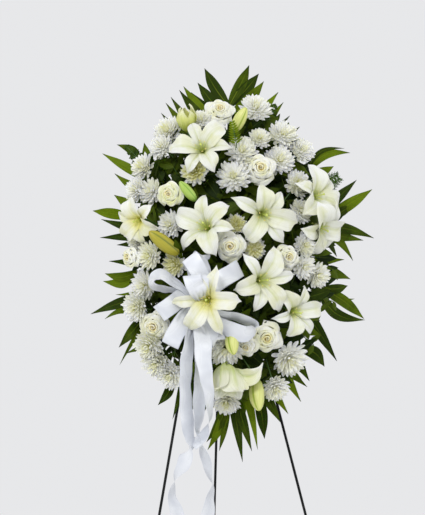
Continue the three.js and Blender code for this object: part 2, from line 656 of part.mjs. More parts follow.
// A node's solid is moved to its own middle, and its mesh placed there.
function addNode(name, solid, finishName) {
  const geometry = geometryOf(solid);
  geometry.computeBoundingBox();
  const middle = geometry.boundingBox.getCenter(vec(0, 0, 0)).round();
  geometry.translate(-middle.x, -middle.y, -middle.z);
  const mesh = new THREE.Mesh(geometry, finish[finishName]());
  mesh.name = name;
  mesh.position.copy(middle);
  spray.add(mesh);
}

addNode('front_leg_left', frontLegNode(-1), 'wire');
addNode('front_leg_right', frontLegNode(1), 'wire');
addNode('rear_leg', rearLegNode(), 'wire');
addNode('pivot_pin', crossWire(easel.pinHeight, easel.pinWire), 'wire');
addNode('upper_rail', crossWire(easel.upperRail, easel.railWire), 'wire');
addNode('lower_rail', crossWire(easel.lowerRail, easel.railWire), 'wire');
addNode('foam_tray', trayNode(), 'tray');

const palmCut = { rootDepth: stem.frondRoot, half: 10.5, rib: 2.4, taper: 0.04, thick: 0.9, arch: 4, droop: 7 };
const fernCut = { rootDepth: stem.fernRoot, half: 5.5, rib: 1.4, taper: 0.72, thick: 0.9, arch: 6, droop: 20, plain: true };
for (const [name, frond] of Object.entries(fronds)) addNode(name, frondNode(frond, palmCut), 'palm');
for (const [name, fern] of Object.entries(ferns)) addNode(name, frondNode(fern, fernCut), 'fern');
for (const [name, heads] of Object.entries(chrysanthemums)) addNode(name, chrysanthemumNode(heads), 'chrysanthemum');
for (const [name, rose] of Object.entries(roses)) addNode(name, roseNode(rose), 'rose');
for (const [name, lily] of Object.entries(lilies)) addNode(name, lilyNode(lily), 'lily');
for (const [name, bud] of Object.entries(buds)) addNode(name, budNode(bud), 'bud');
addNode('ribbon_bow', bowNode(), 'satin');
addNode('foam_block', foamNode(), 'foam');

export default spray;
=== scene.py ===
# A standing funeral spray: white lilies, roses and spray chrysanthemums over palm and fern leaves,
# on a black wire easel with a white satin bow. Lengths in the dictionaries are millimetres.
import json
import math

import bpy
import numpy as np
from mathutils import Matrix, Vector

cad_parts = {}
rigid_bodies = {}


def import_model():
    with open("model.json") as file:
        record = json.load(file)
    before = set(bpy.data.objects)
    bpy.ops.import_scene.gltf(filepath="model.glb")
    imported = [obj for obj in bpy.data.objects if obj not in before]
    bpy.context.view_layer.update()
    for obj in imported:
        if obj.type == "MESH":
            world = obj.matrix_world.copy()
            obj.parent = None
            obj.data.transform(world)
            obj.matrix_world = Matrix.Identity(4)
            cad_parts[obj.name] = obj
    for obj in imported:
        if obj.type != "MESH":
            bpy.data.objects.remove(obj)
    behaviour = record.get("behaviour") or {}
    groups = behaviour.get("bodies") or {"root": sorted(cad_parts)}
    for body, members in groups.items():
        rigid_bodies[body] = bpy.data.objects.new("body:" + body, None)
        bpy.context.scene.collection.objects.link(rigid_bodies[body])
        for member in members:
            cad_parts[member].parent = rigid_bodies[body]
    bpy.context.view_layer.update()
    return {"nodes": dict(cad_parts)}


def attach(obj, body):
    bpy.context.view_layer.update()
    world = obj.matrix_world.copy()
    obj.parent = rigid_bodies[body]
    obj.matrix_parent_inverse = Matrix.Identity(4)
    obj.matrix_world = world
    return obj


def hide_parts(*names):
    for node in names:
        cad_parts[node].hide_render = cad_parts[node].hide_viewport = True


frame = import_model()
print("frame loaded")

# Where things stand: "across" and "height" as the viewer sees the spray, "out" in front of the easel's face.

setting = {
    "shift": (-20.0, 73.0, 0.0),            # moves the stand to the middle of the floor
    "turn": -14.0,                          # the bouquet looks this far to the left, in degrees
    "apex": 1480.0, "frontReach": 260.0,    # top of the easel's leaning face, and how far ahead its foot is
    "domeAcross": 44.0, "domeHeight": 1269.0, "domeHalfWidth": 300.0, "domeHalfHeight": 430.0,
    "rim": 82.0, "rise": 170.0,             # how far out blooms stand at the dome's rim, and more in its middle
    "fan": (50.0, 38.0),                    # how far blooms at its side and top turn outwards, in degrees
    "holderMiddle": 1250.0, "rootDepth": 46.0,                  # the foam's height, and how deep stems go in
    "rootShare": (0.15, 0.25), "rootLimit": (40.0, 100.0),      # how stems spread in the foam, across and up
    "fork": 0.6,                            # share of a stem at which its side stems leave it
    "sharp": 50.0,                          # edges that turn by more degrees than this aren't smoothed
}
# What the camera looks at, across, ahead and up; its distance and the height that it takes in, in metres.
view = {"middle": (-14.3, 184.0, 1257.5), "distance": 8.0, "pictureHeight": 1.339}
# Where the random numbers of each kind start.
seeds = {"lily": 100, "bud": 200, "mum": 300, "rose": 400, "filler": 450, "frond": 500, "fern": 600, "sprig": 620,
         "ribbon": 700, "pick": 740}
turnAngle = math.radians(setting["turn"])
acrossAxis = np.array([math.cos(turnAngle), math.sin(turnAngle), 0.0])
viewerAxis = np.array([math.sin(turnAngle), -math.cos(turnAngle), 0.0])
upAxis = np.array([0.0, 0.0, 1.0])
spiral = 2.4                                # radians from one leaf or floret to the next


def dice(kind, number=0):
    return np.random.default_rng(seeds[kind] + number)


def planeY(height):
    return -setting["frontReach"] * (setting["apex"] - height) / setting["apex"]


def spot(across, height, out):
    y = planeY(height) - out
    return np.array([(across - y * math.sin(turnAngle)) / math.cos(turnAngle), y, height])


def onDome(across, height):
    return ((across - setting["domeAcross"]) / setting["domeHalfWidth"],
            (height - setting["domeHeight"]) / setting["domeHalfHeight"])


def headPlace(across, height, lift=0.0):
    sideways, upright = onDome(across, height)
    dome = setting["rise"] * math.sqrt(max(0.0, 1 - sideways ** 2 - upright ** 2))
    return spot(across, height, setting["rim"] + dome + lift)


# The direction that looks so many degrees right of the viewer, and up.
def facing(right, up):
    right, up = math.radians(right), math.radians(up)
    return (viewerAxis * math.cos(right) * math.cos(up) + acrossAxis * math.sin(right) * math.cos(up)
            + upAxis * math.sin(up))


def facingOutward(across, height):
    sideways, upright = onDome(across, height)
    return facing(setting["fan"][0] * sideways, setting["fan"][1] * upright)


# Where a bloom's stem ends in the foam.
def rootOf(target, depth=setting["rootDepth"]):
    middle, share, limit = setting["holderMiddle"], setting["rootShare"], setting["rootLimit"]
    across = np.clip(share[0] * target[0], -limit[0], limit[0])
    height = middle + np.clip(share[1] * (target[2] - middle), -limit[1], limit[1])
    return np.array([across, planeY(height) - depth, height])


def unit(v):
    return v / max(1e-9, np.linalg.norm(v))


# Where the camera sees a point, across and in height; and the point it sees there, so far out.
def seenAt(point):
    across, ahead, height = view["middle"]
    near = 1000 * view["distance"] / (1000 * view["distance"] + ahead - point @ viewerAxis)
    return np.array([across + (point @ acrossAxis - across) * near, height + (point[2] - height) * near])


def seenSpot(across, height, out):
    point = spot(across, height, out)
    for _ in range(3):
        off = np.array([across, height]) - seenAt(point)
        point = spot(point @ acrossAxis + off[0], point[2] + off[1], out)
    return point


# The rotation that takes +Z to a direction by the shortest way, then spins round it.
def turnTo(direction, spin=0.0):
    cross = np.cross(upAxis, direction)
    k = np.array([[0, -cross[2], cross[1]], [cross[2], 0, -cross[0]], [-cross[1], cross[0], 0]])
    tilt = np.eye(3) + k + k @ k / (1 + direction[2])
    s = math.radians(spin)
    return tilt @ np.array([[math.cos(s), -math.sin(s), 0], [math.sin(s), math.cos(s), 0], [0, 0, 1]])


# A smooth line through control points, or through control values.
def smooth(points, count):
    p = np.asarray(points, float)
    flat = p.ndim == 1
    if flat:
        p = p[:, None]
    p = np.vstack([2 * p[0] - p[1], p, 2 * p[-1] - p[-2]])
    t = np.linspace(0, len(p) - 3, count)
    k = np.minimum(t.astype(int), len(p) - 4)
    f = (t - k)[:, None]
    a, b, c, d = p[k], p[k + 1], p[k + 2], p[k + 3]
    line = 0.5 * (2 * b + (c - a) * f + (2 * a - 5 * b + 4 * c - d) * f ** 2 + (3 * b - a - 3 * c + d) * f ** 3)
    return line[:, 0] if flat else line


# A petal's parts: directions outward at an angle and along its rim, its middle line from its distance r off the
# flower's axis and height h, with the way its upper side looks, and the grid laid over such a line.

def spokes(angle):
    return np.array([math.cos(angle), math.sin(angle), 0]), np.array([-math.sin(angle), math.cos(angle), 0])


def petalSpine(r, h, outward):
    slope = np.arctan2(np.gradient(h), np.gradient(r))
    return (r[:, None] * outward + h[:, None] * upAxis,
            -np.sin(slope)[:, None] * outward + np.cos(slope)[:, None] * upAxis)


def layGrid(middle, aside, across, lift, raised):
    return middle[:, None] + aside[..., None] * across[:, None] + lift[..., None] * raised[:, None]


# Mesh pieces: a heap gathers thin closed blades and tubes, and becomes one object.

def newHeap():
    return {"points": [], "faces": [], "uv": [], "tone": [], "finish": [], "count": 0}


def addPatch(heap, points, faces, uv, tone, finish):
    heap["points"].append(points)
    heap["faces"].append(faces + heap["count"])
    heap["uv"].append(uv)
    heap["tone"].append(np.full(len(points), tone))
    heap["finish"].append(np.full(len(faces), finish))
    heap["count"] += len(points)


gridFaces = {}                              # faces of each size of blade, made once


def bladeFaces(n, m):
    if (n, m) not in gridFaces:
        i, j = np.meshgrid(np.arange(n - 1), np.arange(m - 1), indexing="ij")
        a, b = (i * m + j).ravel(), (i * m + j + 1).ravel()
        c, d = b + m, a + m
        under = n * m
        p, q = np.arange(m - 1), np.arange(n - 1) * m
        last, r = (n - 1) * m, q + m - 1
        gridFaces[n, m] = np.vstack([np.stack(side, 1) for side in (
            (a, b, c, d), (a + under, d + under, c + under, b + under),
            (p + 1, p, p + under, p + 1 + under),
            (last + p, last + p + 1, last + p + 1 + under, last + p + under),
            (q, q + m, q + m + under, q + under), (r + m, r, r + under, r + m + under))])
    return gridFaces[n, m]


# A blade is a grid of points, rows along it and columns across, given a thickness.
def addBlade(heap, grid, thick, tone=0.5, finish=0):
    n, m = grid.shape[:2]
    normal = np.cross(np.gradient(grid, axis=1), np.gradient(grid, axis=0))
    normal /= np.maximum(1e-9, np.linalg.norm(normal, axis=2, keepdims=True))
    half = normal * (np.broadcast_to(thick, (n, m))[..., None] / 2)
    points = np.vstack([(grid + half).reshape(-1, 3), (grid - half).reshape(-1, 3)])
    v, u = np.meshgrid(np.linspace(0, 1, n), np.linspace(0, 1, m), indexing="ij")
    uv = np.stack([u.ravel(), v.ravel()], 1)
    addPatch(heap, points, bladeFaces(n, m), np.vstack([uv, uv]), tone, finish)


# A tube along a line, closed at both ends; shape(angle, share) may make it ribbed.
def addTube(heap, line, radii, sides=6, tone=0.5, finish=0, shape=None):
    line = np.asarray(line, float)
    n = len(line)
    radii = np.broadcast_to(radii, n)
    along = np.gradient(line, axis=0)
    along /= np.maximum(1e-9, np.linalg.norm(along, axis=1, keepdims=True))
    first = np.cross(along[0], [0.31, 0.95, 0.05])          # any direction off the line starts the ring
    rings = []
    angle = np.linspace(0, 2 * math.pi, sides, endpoint=False)
    for i in range(n):
        first = unit(first - along[i] * (first @ along[i]))
        second = np.cross(along[i], first)
        r = radii[i] * (shape(angle, i / (n - 1)) if shape else 1.0)
        ring = np.cos(angle)[:, None] * first + np.sin(angle)[:, None] * second
        rings.append(line[i] + ring * np.reshape(r * np.ones(sides), (-1, 1)))
    points = np.vstack(rings + [line[:1], line[-1:]])
    i, j = np.meshgrid(np.arange(n - 1) * sides, np.arange(sides), indexing="ij")
    k = (j + 1) % sides
    wall = np.stack([i + j, i + k, i + sides + k, i + sides + j], -1).reshape(-1, 4)
    j, k, end = j[0], k[0], (n - 1) * sides
    low, high = np.full(sides, n * sides), np.full(sides, n * sides + 1)
    caps = [np.stack([low, k, j, low], 1), np.stack([high, end + j, end + k, high], 1)]
    uv = np.stack([np.tile(np.arange(sides) / sides, n), np.repeat(np.linspace(0, 1, n), sides)], 1)
    addPatch(heap, points, np.vstack([wall, *caps]), np.vstack([uv, [[0.5, 0.0], [0.5, 1.0]]]), tone, finish)


def makePiece(name, heap, finishNames, replaces):
    points = (np.vstack(heap["points"]) + setting["shift"]) * 0.001
    faces = np.vstack(heap["faces"])
    triangle = faces[:, 0] == faces[:, 3]                   # a cap's face repeats its first corner
    corner = np.ones(faces.shape, bool)
    corner[triangle, 3] = False
    flat = faces[corner]
    starts = np.concatenate([[0], np.cumsum(np.where(triangle, 3, 4))[:-1]])
    mesh = bpy.data.meshes.new(name)
    mesh.vertices.add(len(points))
    mesh.vertices.foreach_set("co", points.astype(np.float32).ravel())
    mesh.loops.add(len(flat))
    mesh.loops.foreach_set("vertex_index", flat.astype(np.int32))
    mesh.polygons.add(len(faces))
    mesh.polygons.foreach_set("loop_start", starts.astype(np.int32))
    mesh.polygons.foreach_set("material_index", np.concatenate(heap["finish"]).astype(np.int32))
    mesh.update(calc_edges=True)
    mesh.validate()
    uv = mesh.uv_layers.new(name="UVMap")
    uv.data.foreach_set("uv", np.vstack(heap["uv"])[flat].astype(np.float32).ravel())
    tone = mesh.attributes.new("tone", "FLOAT", "POINT")
    tone.data.foreach_set("value", np.concatenate(heap["tone"]).astype(np.float32))
    mesh.polygons.foreach_set("use_smooth", np.ones(len(faces), bool))
    for finish in finishNames:
        mesh.materials.append(finishes[finish])
    mesh.set_sharp_from_angle(angle=math.radians(setting["sharp"]))
    piece = bpy.data.objects.new(name, mesh)
    bpy.context.scene.collection.objects.link(piece)
    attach(piece, "stand")
    if replaces:
        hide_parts(*replaces)
    return piece


# Finishes are built from a few steps. A grey is given as one number.

def startFinish(name):
    finish = bpy.data.materials.new(name)
    finish.use_nodes = True
    tree = finish.node_tree
    tree.nodes.clear()
    shader = tree.nodes.new("ShaderNodeBsdfPrincipled")
    tree.links.new(shader.outputs[0], tree.nodes.new("ShaderNodeOutputMaterial").inputs[0])
    return finish, tree, shader


# Links another node's output to a socket, or sets a plain value on it.
def feed(tree, socket, value):
    if isinstance(value, bpy.types.NodeSocket):
        tree.links.new(value, socket)
    elif isinstance(value, (int, float)):
        socket.default_value = value
    else:
        socket.default_value = (*value, 1)[:len(socket.default_value)]


def ramp(tree, source, stops):
    node = tree.nodes.new("ShaderNodeValToRGB")
    node.color_ramp.interpolation = "EASE"
    while len(node.color_ramp.elements) < len(stops):
        node.color_ramp.elements.new(0.5)
    for element, (place, colour) in zip(node.color_ramp.elements, stops):
        element.position = place
        element.color = (*colour, 1) if isinstance(colour, tuple) else (colour, colour, colour, 1)
    tree.links.new(source, node.inputs[0])
    return node.outputs[0]


def mix(tree, share, low, high, how="MIX"):
    node = tree.nodes.new("ShaderNodeMix")
    node.data_type = "RGBA"
    node.blend_type = how
    for place, value in ((0, share), (6, low), (7, high)):
        feed(tree, node.inputs[place], value)
    return node.outputs[2]


def tint(tree, colour, by):
    return mix(tree, 1.0, colour, by, "MULTIPLY")


def maths(tree, how, a, b=0.0, c=0.0):
    node = tree.nodes.new("ShaderNodeMath")
    node.operation = how
    for socket, value in zip(node.inputs, (a, b, c)):
        feed(tree, socket, value)
    return node.outputs[0]


# A blade's UV, u across it and v along it; and how far a point lies from its middle line.
def bladeUv(tree):
    uv = tree.nodes.new("ShaderNodeUVMap")
    uv.uv_map = "UVMap"
    parts = tree.nodes.new("ShaderNodeSeparateXYZ")
    tree.links.new(uv.outputs[0], parts.inputs[0])
    return uv.outputs[0], parts.outputs[0], parts.outputs[1]


def offMiddle(tree, u):
    return maths(tree, "ABSOLUTE", maths(tree, "SUBTRACT", u, 0.5))


def toneOf(tree):
    node = tree.nodes.new("ShaderNodeAttribute")
    node.attribute_name = "tone"
    return node.outputs["Fac"]


# Noise in the piece's own space; streaks are noise drawn out along a blade.
def noise(tree, scale, detail, vector=None):
    node = tree.nodes.new("ShaderNodeTexNoise")
    node.inputs["Scale"].default_value = scale
    node.inputs["Detail"].default_value = detail
    if vector is None:
        vector = tree.nodes.new("ShaderNodeTexCoord").outputs["Object"]
    tree.links.new(vector, node.inputs["Vector"])
    return node.outputs["Fac"]


def streaks(tree, uv, detail, across, along):
    mapping = tree.nodes.new("ShaderNodeMapping")
    mapping.inputs["Scale"].default_value = (across, along, 1.0)
    tree.links.new(uv, mapping.inputs[0])
    return noise(tree, 1.0, detail, mapping.outputs[0])


# Colour, roughness and bump join the shader; the rest are plain values on its own sockets.
def dress(tree, shader, colour, rough, height, strength, distance, plain):
    bump = tree.nodes.new("ShaderNodeBump")
    for socket, value in (("Strength", strength), ("Distance", distance), ("Height", height)):
        feed(tree, bump.inputs[socket], value)
    joined = {"Base Color": colour, "Roughness": rough, "Normal": bump.outputs[0]}
    for socket, value in {**joined, **plain}.items():
        feed(tree, shader.inputs[socket], value)


def softness(weight, radius, scale):
    return {"Subsurface Weight": weight, "Subsurface Radius": radius, "Subsurface Scale": scale}


# Petals: colour runs from the base to the tip, with a middle vein, fine long veins and a soft mottle.
def petalFinish(name, base, body, tip, vein, veinShare, reach, rough, soft, lines=0.25):
    finish, tree, shader = startFinish(name)
    uv, u, v = bladeUv(tree)
    between = tuple((a + b) / 2 for a, b in zip(base, body))
    along = ramp(tree, v, [(0.0, base), (reach * 0.55, between), (reach, body), (1.0, tip)])
    middle = ramp(tree, offMiddle(tree, u), [(0.0, 1), (0.10, 0.25), (0.2, 0)])
    fade = ramp(tree, v, [(0.0, 1), (0.5, 0.7), (0.92, 0)])
    share = maths(tree, "MULTIPLY", maths(tree, "MULTIPLY", middle, fade), veinShare)
    colour = mix(tree, share, along, vein)
    veins = streaks(tree, uv, 2.0, 46.0, 1.6)
    pale = 1 - 0.2 * lines
    colour = tint(tree, colour, ramp(tree, veins, [(0.35, (pale, pale + 0.01, pale - 0.04)), (0.6, 1)]))
    colour = tint(tree, colour, ramp(tree, noise(tree, 24.0, 2.0), [(0.36, (0.93, 0.93, 0.76)), (0.56, 1)]))
    colour = tint(tree, colour, ramp(tree, toneOf(tree), [(0.0, (0.88, 0.87, 0.74)), (0.5, 1)]))
    gloss = ramp(tree, veins, [(0.3, rough + 0.1), (0.7, rough - 0.06)])
    dress(tree, shader, colour, gloss, veins, lines, 0.0006,
          {"Specular IOR Level": 0.35, "Sheen Weight": 0.08, **softness(soft, (1.0, 0.95, 0.75), 0.003)})
    return finish


# Leaves: a paler rib, parallel veins, patches of lighter and darker green, a brown tip and a waxy gloss.
def leafFinish(name, dark, light, rib, rough, veinScale):
    finish, tree, shader = startFinish(name)
    uv, u, v = bladeUv(tree)
    patches = noise(tree, 22.0, 4.0)
    share = maths(tree, "MULTIPLY_ADD", patches, 0.7, maths(tree, "SUBTRACT", toneOf(tree), 0.35))
    colour = ramp(tree, share, [(0.15, dark), (0.85, light)])
    veins = streaks(tree, uv, 2.0, veinScale, 1.2)
    colour = tint(tree, colour, ramp(tree, veins, [(0.38, (0.72, 0.78, 0.66)), (0.6, 1)]))
    middle = ramp(tree, offMiddle(tree, u), [(0.0, 1), (0.03, 0.5), (0.06, 0)])
    fade = ramp(tree, v, [(0.0, 0.8), (0.9, 0.15)])
    colour = mix(tree, maths(tree, "MULTIPLY", middle, fade), colour, rib)
    colour = tint(tree, colour, ramp(tree, v, [(0.9, 1), (1.0, (0.45, 0.42, 0.3))]))
    gloss = ramp(tree, patches, [(0.3, rough + 0.12), (0.7, rough - 0.04)])
    dress(tree, shader, colour, gloss, veins, 0.5, 0.0005,
          {"Specular IOR Level": 0.07, **softness(0.08, (0.4, 1.0, 0.2), 0.002)})
    return finish


def stemFinish(name, dark, light, rough=0.45):
    finish, tree, shader = startFinish(name)
    lines = streaks(tree, bladeUv(tree)[0], 3.0, 14.0, 9.0)
    dress(tree, shader, ramp(tree, lines, [(0.3, dark), (0.7, light)]),
          ramp(tree, lines, [(0.3, rough + 0.1), (0.7, rough - 0.05)]), lines, 0.4, 0.0004, {})
    return finish


# A closed bud: green at its foot and point, three darker seams, fine long streaks, and a blush on an old one.
def budFinish(name, foot, flank, seam, point, blush=None):
    finish, tree, shader = startFinish(name)
    uv, u, v = bladeUv(tree)
    along = ramp(tree, v, [(0.0, foot), (0.35, flank), (0.8, flank), (1.0, point)])
    wave = maths(tree, "COSINE", maths(tree, "MULTIPLY", u, 2 * math.pi * 3))
    colour = mix(tree, ramp(tree, wave, [(0.0, 0), (0.86, 0.12), (1.0, 1)]), along, seam)
    lines = streaks(tree, uv, 2.0, 60.0, 2.0)
    colour = tint(tree, colour, ramp(tree, lines, [(0.35, (0.84, 0.88, 0.72)), (0.6, 1)]))
    if blush:
        patch = ramp(tree, noise(tree, 34.0, 2.0), [(0.52, 0), (0.68, 1)])
        end = ramp(tree, v, [(0.7, 0), (0.9, 1)])
        colour = mix(tree, maths(tree, "MULTIPLY", patch, end), colour, blush)
    dress(tree, shader, colour, 0.42, lines, 0.35, 0.0005, softness(0.12, (0.8, 1.0, 0.3), 0.003))
    return finish


# Satin: a fine weave, slubs along the length, a woven edge, and a painted sheen: bands of painted light and
# shade, grey-blue to white, that lie across it, with its gloss following them.
def satinFinish(name):
    finish, tree, shader = startFinish(name)
    uv, u, _ = bladeUv(tree)
    broad = streaks(tree, uv, 1.5, 0.8, 5.0)
    slubs = streaks(tree, uv, 2.0, 70.0, 5.0)
    # Painted light and shade: this noise changes along the band, so the colour forms bands across it, from
    # grey-blue painted shade to white painted light.
    colour = ramp(tree, broad, [(0.3, (0.63, 0.655, 0.71)), (0.68, (0.80, 0.82, 0.85))])
    colour = tint(tree, colour, ramp(tree, slubs, [(0.35, (0.985, 0.985, 0.99)), (0.6, 1)]))
    edge = ramp(tree, offMiddle(tree, u), [(0.455, 1), (0.475, (0.86, 0.88, 0.92)), (0.5, 1)])
    colour = tint(tree, colour, edge)
    weave = streaks(tree, uv, 2.0, 260.0, 60.0)
    height = maths(tree, "ADD", maths(tree, "MULTIPLY", slubs, 0.3), weave)
    dress(tree, shader, colour, ramp(tree, broad, [(0.3, 0.34), (0.7, 0.24)]), height, 0.08, 0.0003,
          {"Specular IOR Level": 0.75, "Anisotropic": 0.5, "Sheen Weight": 0.12, "Sheen Roughness": 0.4})
    return finish


def wireFinish(name):
    finish, tree, shader = startFinish(name)
    speckle = noise(tree, 420.0, 3.0)
    wear = ramp(tree, noise(tree, 38.0, 5.0), [(0.64, (0.004, 0.005, 0.005)), (0.76, (0.03, 0.03, 0.028))])
    dress(tree, shader, wear, ramp(tree, speckle, [(0.3, 0.5), (0.7, 0.34)]), speckle, 0.3, 0.0003,
          {"Specular IOR Level": 0.12})
    return finish


def plasticFinish(name):
    finish, tree, shader = startFinish(name)
    grain = noise(tree, 600.0, 2.0)
    colour = ramp(tree, noise(tree, 16.0, 3.0), [(0.3, (0.012, 0.06, 0.02)), (0.7, (0.02, 0.085, 0.03))])
    dress(tree, shader, colour, ramp(tree, grain, [(0.3, 0.5), (0.7, 0.38)]), grain, 0.25, 0.0004, {})
    return finish


def foamFinish(name):
    finish, tree, shader = startFinish(name)
    cells = tree.nodes.new("ShaderNodeTexVoronoi")
    cells.inputs["Scale"].default_value = 420.0
    tree.links.new(tree.nodes.new("ShaderNodeTexCoord").outputs["Object"], cells.inputs["Vector"])
    pores = cells.outputs["Distance"]
    colour = ramp(tree, noise(tree, 30.0, 4.0), [(0.3, (0.02, 0.075, 0.028)), (0.7, (0.045, 0.13, 0.05))])
    # Painted shade: the foam is darkened in its pores, where shade falls into the hollows.
    colour = tint(tree, colour, ramp(tree, pores, [(0.0, 0.45), (0.5, 1)]))
    dress(tree, shader, colour, 0.92, pores, 0.7, 0.001, {})
    return finish


# Petals: base, body, tip and vein colour, then the vein's share, how far the base colour reaches, roughness,
# softness and how deep the fine veins are.
petalLooks = {
    "lily": ("lilyPetal", (0.48, 0.55, 0.02), (0.83, 0.84, 0.75), (0.86, 0.865, 0.865), (0.58, 0.64, 0.22),
             0.6, 0.40, 0.5, 0.25, 0.6),
    "lilyWarm": ("lilyPetalYellow", (0.95, 0.86, 0.03), (0.84, 0.84, 0.74), (0.86, 0.865, 0.865),
                 (0.74, 0.74, 0.26), 0.5, 0.54, 0.5, 0.25, 0.6),
    "lilyGreen": ("lilyPetalGreen", (0.36, 0.46, 0.04), (0.82, 0.83, 0.66), (0.87, 0.87, 0.83),
                  (0.42, 0.52, 0.10), 0.75, 0.5, 0.5, 0.25, 0.8),
    "lilyOpening": ("lilyPetalOpening", (0.40, 0.50, 0.03), (0.70, 0.73, 0.24), (0.86, 0.865, 0.62),
                    (0.46, 0.56, 0.08), 0.7, 0.6, 0.5, 0.25, 0.9),
    "mum": ("chrysanthemumRay", (0.92, 0.91, 0.62), (0.97, 0.97, 0.92), (0.985, 0.985, 0.98),
            (0.94, 0.95, 0.86), 0.25, 0.32, 0.6, 0.85),
    "mumHeart": ("chrysanthemumHeart", (0.78, 0.76, 0.30), (0.90, 0.89, 0.64), (0.95, 0.95, 0.84),
                 (0.85, 0.85, 0.56), 0.3, 0.6, 0.6, 0.7),
    "mumGreen": ("chrysanthemumGreen", (0.60, 0.58, 0.10), (0.82, 0.80, 0.42), (0.92, 0.92, 0.72),
                 (0.76, 0.76, 0.38), 0.3, 0.6, 0.6, 0.7),
    "rose": ("rosePetal", (0.92, 0.86, 0.50), (0.93, 0.92, 0.78), (0.94, 0.935, 0.86), (0.91, 0.90, 0.72),
             0.15, 0.7, 0.55, 0.6),
    "roseGreen": ("rosePetalGreen", (0.66, 0.68, 0.24), (0.82, 0.83, 0.54), (0.93, 0.93, 0.80),
                  (0.84, 0.85, 0.56), 0.2, 0.7, 0.55, 0.5),
    "roseHeart": ("roseHeart", (0.92, 0.74, 0.30), (0.94, 0.87, 0.58), (0.94, 0.92, 0.80),
                  (0.92, 0.86, 0.6), 0.15, 0.7, 0.55, 0.6),
}
finishes = {key: petalFinish(*look) for key, look in petalLooks.items()}
finishes.update({
    "pistil": stemFinish("pistilGreen", (0.46, 0.56, 0.09), (0.68, 0.74, 0.20)),
    "anther": stemFinish("antherCream", (0.62, 0.50, 0.12), (0.82, 0.72, 0.30), 0.7),
    "stem": stemFinish("stemGreen", (0.030, 0.085, 0.009), (0.065, 0.15, 0.02)),
    "palm": leafFinish("palmLeaflet", (0.024, 0.042, 0.001), (0.145, 0.205, 0.004), (0.19, 0.25, 0.012),
                       0.5, 26.0),
    "leaf": leafFinish("stemLeaf", (0.010, 0.022, 0.001), (0.070, 0.105, 0.004), (0.08, 0.12, 0.010), 0.5, 14.0),
    "fern": leafFinish("fernLeaf", (0.012, 0.030, 0.002), (0.050, 0.090, 0.006), (0.08, 0.13, 0.02), 0.55, 8.0),
    "bud": budFinish("lilyBud", (0.26, 0.38, 0.03), (0.70, 0.72, 0.26), (0.34, 0.44, 0.04), (0.58, 0.62, 0.12)),
    "budGreen": budFinish("lilyBudGreen", (0.14, 0.30, 0.03), (0.42, 0.58, 0.12), (0.22, 0.40, 0.04),
                          (0.40, 0.55, 0.12)),
    "budOchre": budFinish("lilyBudOchre", (0.34, 0.30, 0.02), (0.42, 0.37, 0.03), (0.20, 0.22, 0.02),
                          (0.44, 0.34, 0.03), (0.30, 0.11, 0.03)),
    "satin": satinFinish("whiteSatin"),
    "wire": wireFinish("blackWire"),
    "tray": plasticFinish("greenPlastic"),
    "foam": foamFinish("floralFoam"),
})
print("finishes made")

# Leaves and stems

stemLook = {
    "radius": 2.3, "taper": 0.85, "sides": 7, "length": (42, 66), "half": (6, 10),
    "leaves": 9, "from": 0.42, "to": 0.93,      # how many leaves, and between which shares of the stem
}
leafWidths = [0.18, 0.62, 0.93, 1.0, 0.9, 0.66, 0.36, 0.03]     # from foot to tip


# One leaf with a folded rib: along is its direction, face the way its upper side looks.
def addLeaf(heap, base, along, face, length, half, tone, finish, droop, fold, twist=0.0, rows=9, columns=5,
            thick=0.45):
    along = unit(along)
    face = unit(face - along * (face @ along))
    t = np.linspace(0, 1, rows)
    u = np.linspace(-1, 1, columns)
    width = half * smooth(leafWidths, rows)[:, None]
    middle = base + np.outer(t * length, along) - np.outer(droop * length * t ** 2, face)
    turn = math.radians(twist) * t[:, None]
    across = np.cos(turn) * np.cross(along, face) + np.sin(turn) * face
    lift = -fold * width * np.abs(u) ** 1.3
    addBlade(heap, layGrid(middle, width * u, across, lift, np.cross(across, along)), thick, tone, finish)


# A stem runs from its root in the foam to its target, with narrow leaves in a spiral round it.
def addStem(heap, root, target, rng, leaves=0, radius=stemLook["radius"], finish=0, bend=0.0):
    along = target - root
    side = unit(np.cross(along, upAxis))
    t = np.linspace(0, 1, 9)
    line = root + np.outer(t, along) + np.outer(bend * np.sin(t * math.pi), side)
    addTube(heap, line, np.linspace(radius, radius * stemLook["taper"], 9), stemLook["sides"], 0.5, finish)
    direction = unit(along)
    for k in range(leaves):
        share = stemLook["from"] + (stemLook["to"] - stemLook["from"]) * (k + rng.random()) / leaves
        turn = k * spiral + rng.random() * 0.8
        outward = side * math.cos(turn) + np.cross(direction, side) * math.sin(turn)
        base = root + along * share + outward * radius * 0.6
        lean = 0.45 + 0.55 * rng.random()
        addLeaf(heap, base, outward + direction * lean, direction - outward * 0.3,
                rng.uniform(*stemLook["length"]), rng.uniform(*stemLook["half"]), rng.uniform(0.2, 0.8), 1,
                rng.uniform(0.05, 0.3), rng.uniform(0.1, 0.35), rng.uniform(-25, 25))


def makeStem(name, heap, replaces):
    makePiece(name, heap, ["stem", "leaf"], replaces)


# A flower's green cup: places along its axis from the neck, the radius at each and the bloom's size for these.
def addCup(heap, neck, direction, cup, size, sides):
    places, radii, full = cup
    line = np.array([neck + direction * place for place in places])
    addTube(heap, line, np.array(radii) * size / full, sides, 0.5, 0)


# Lilies: three broad inner petals and three narrow outer ones over a green throat. Each petal is given by its
# angle round the flower, anticlockwise from the viewer's right, its share of the length and, where they are its
# own, the line that it follows and its roll in degrees.

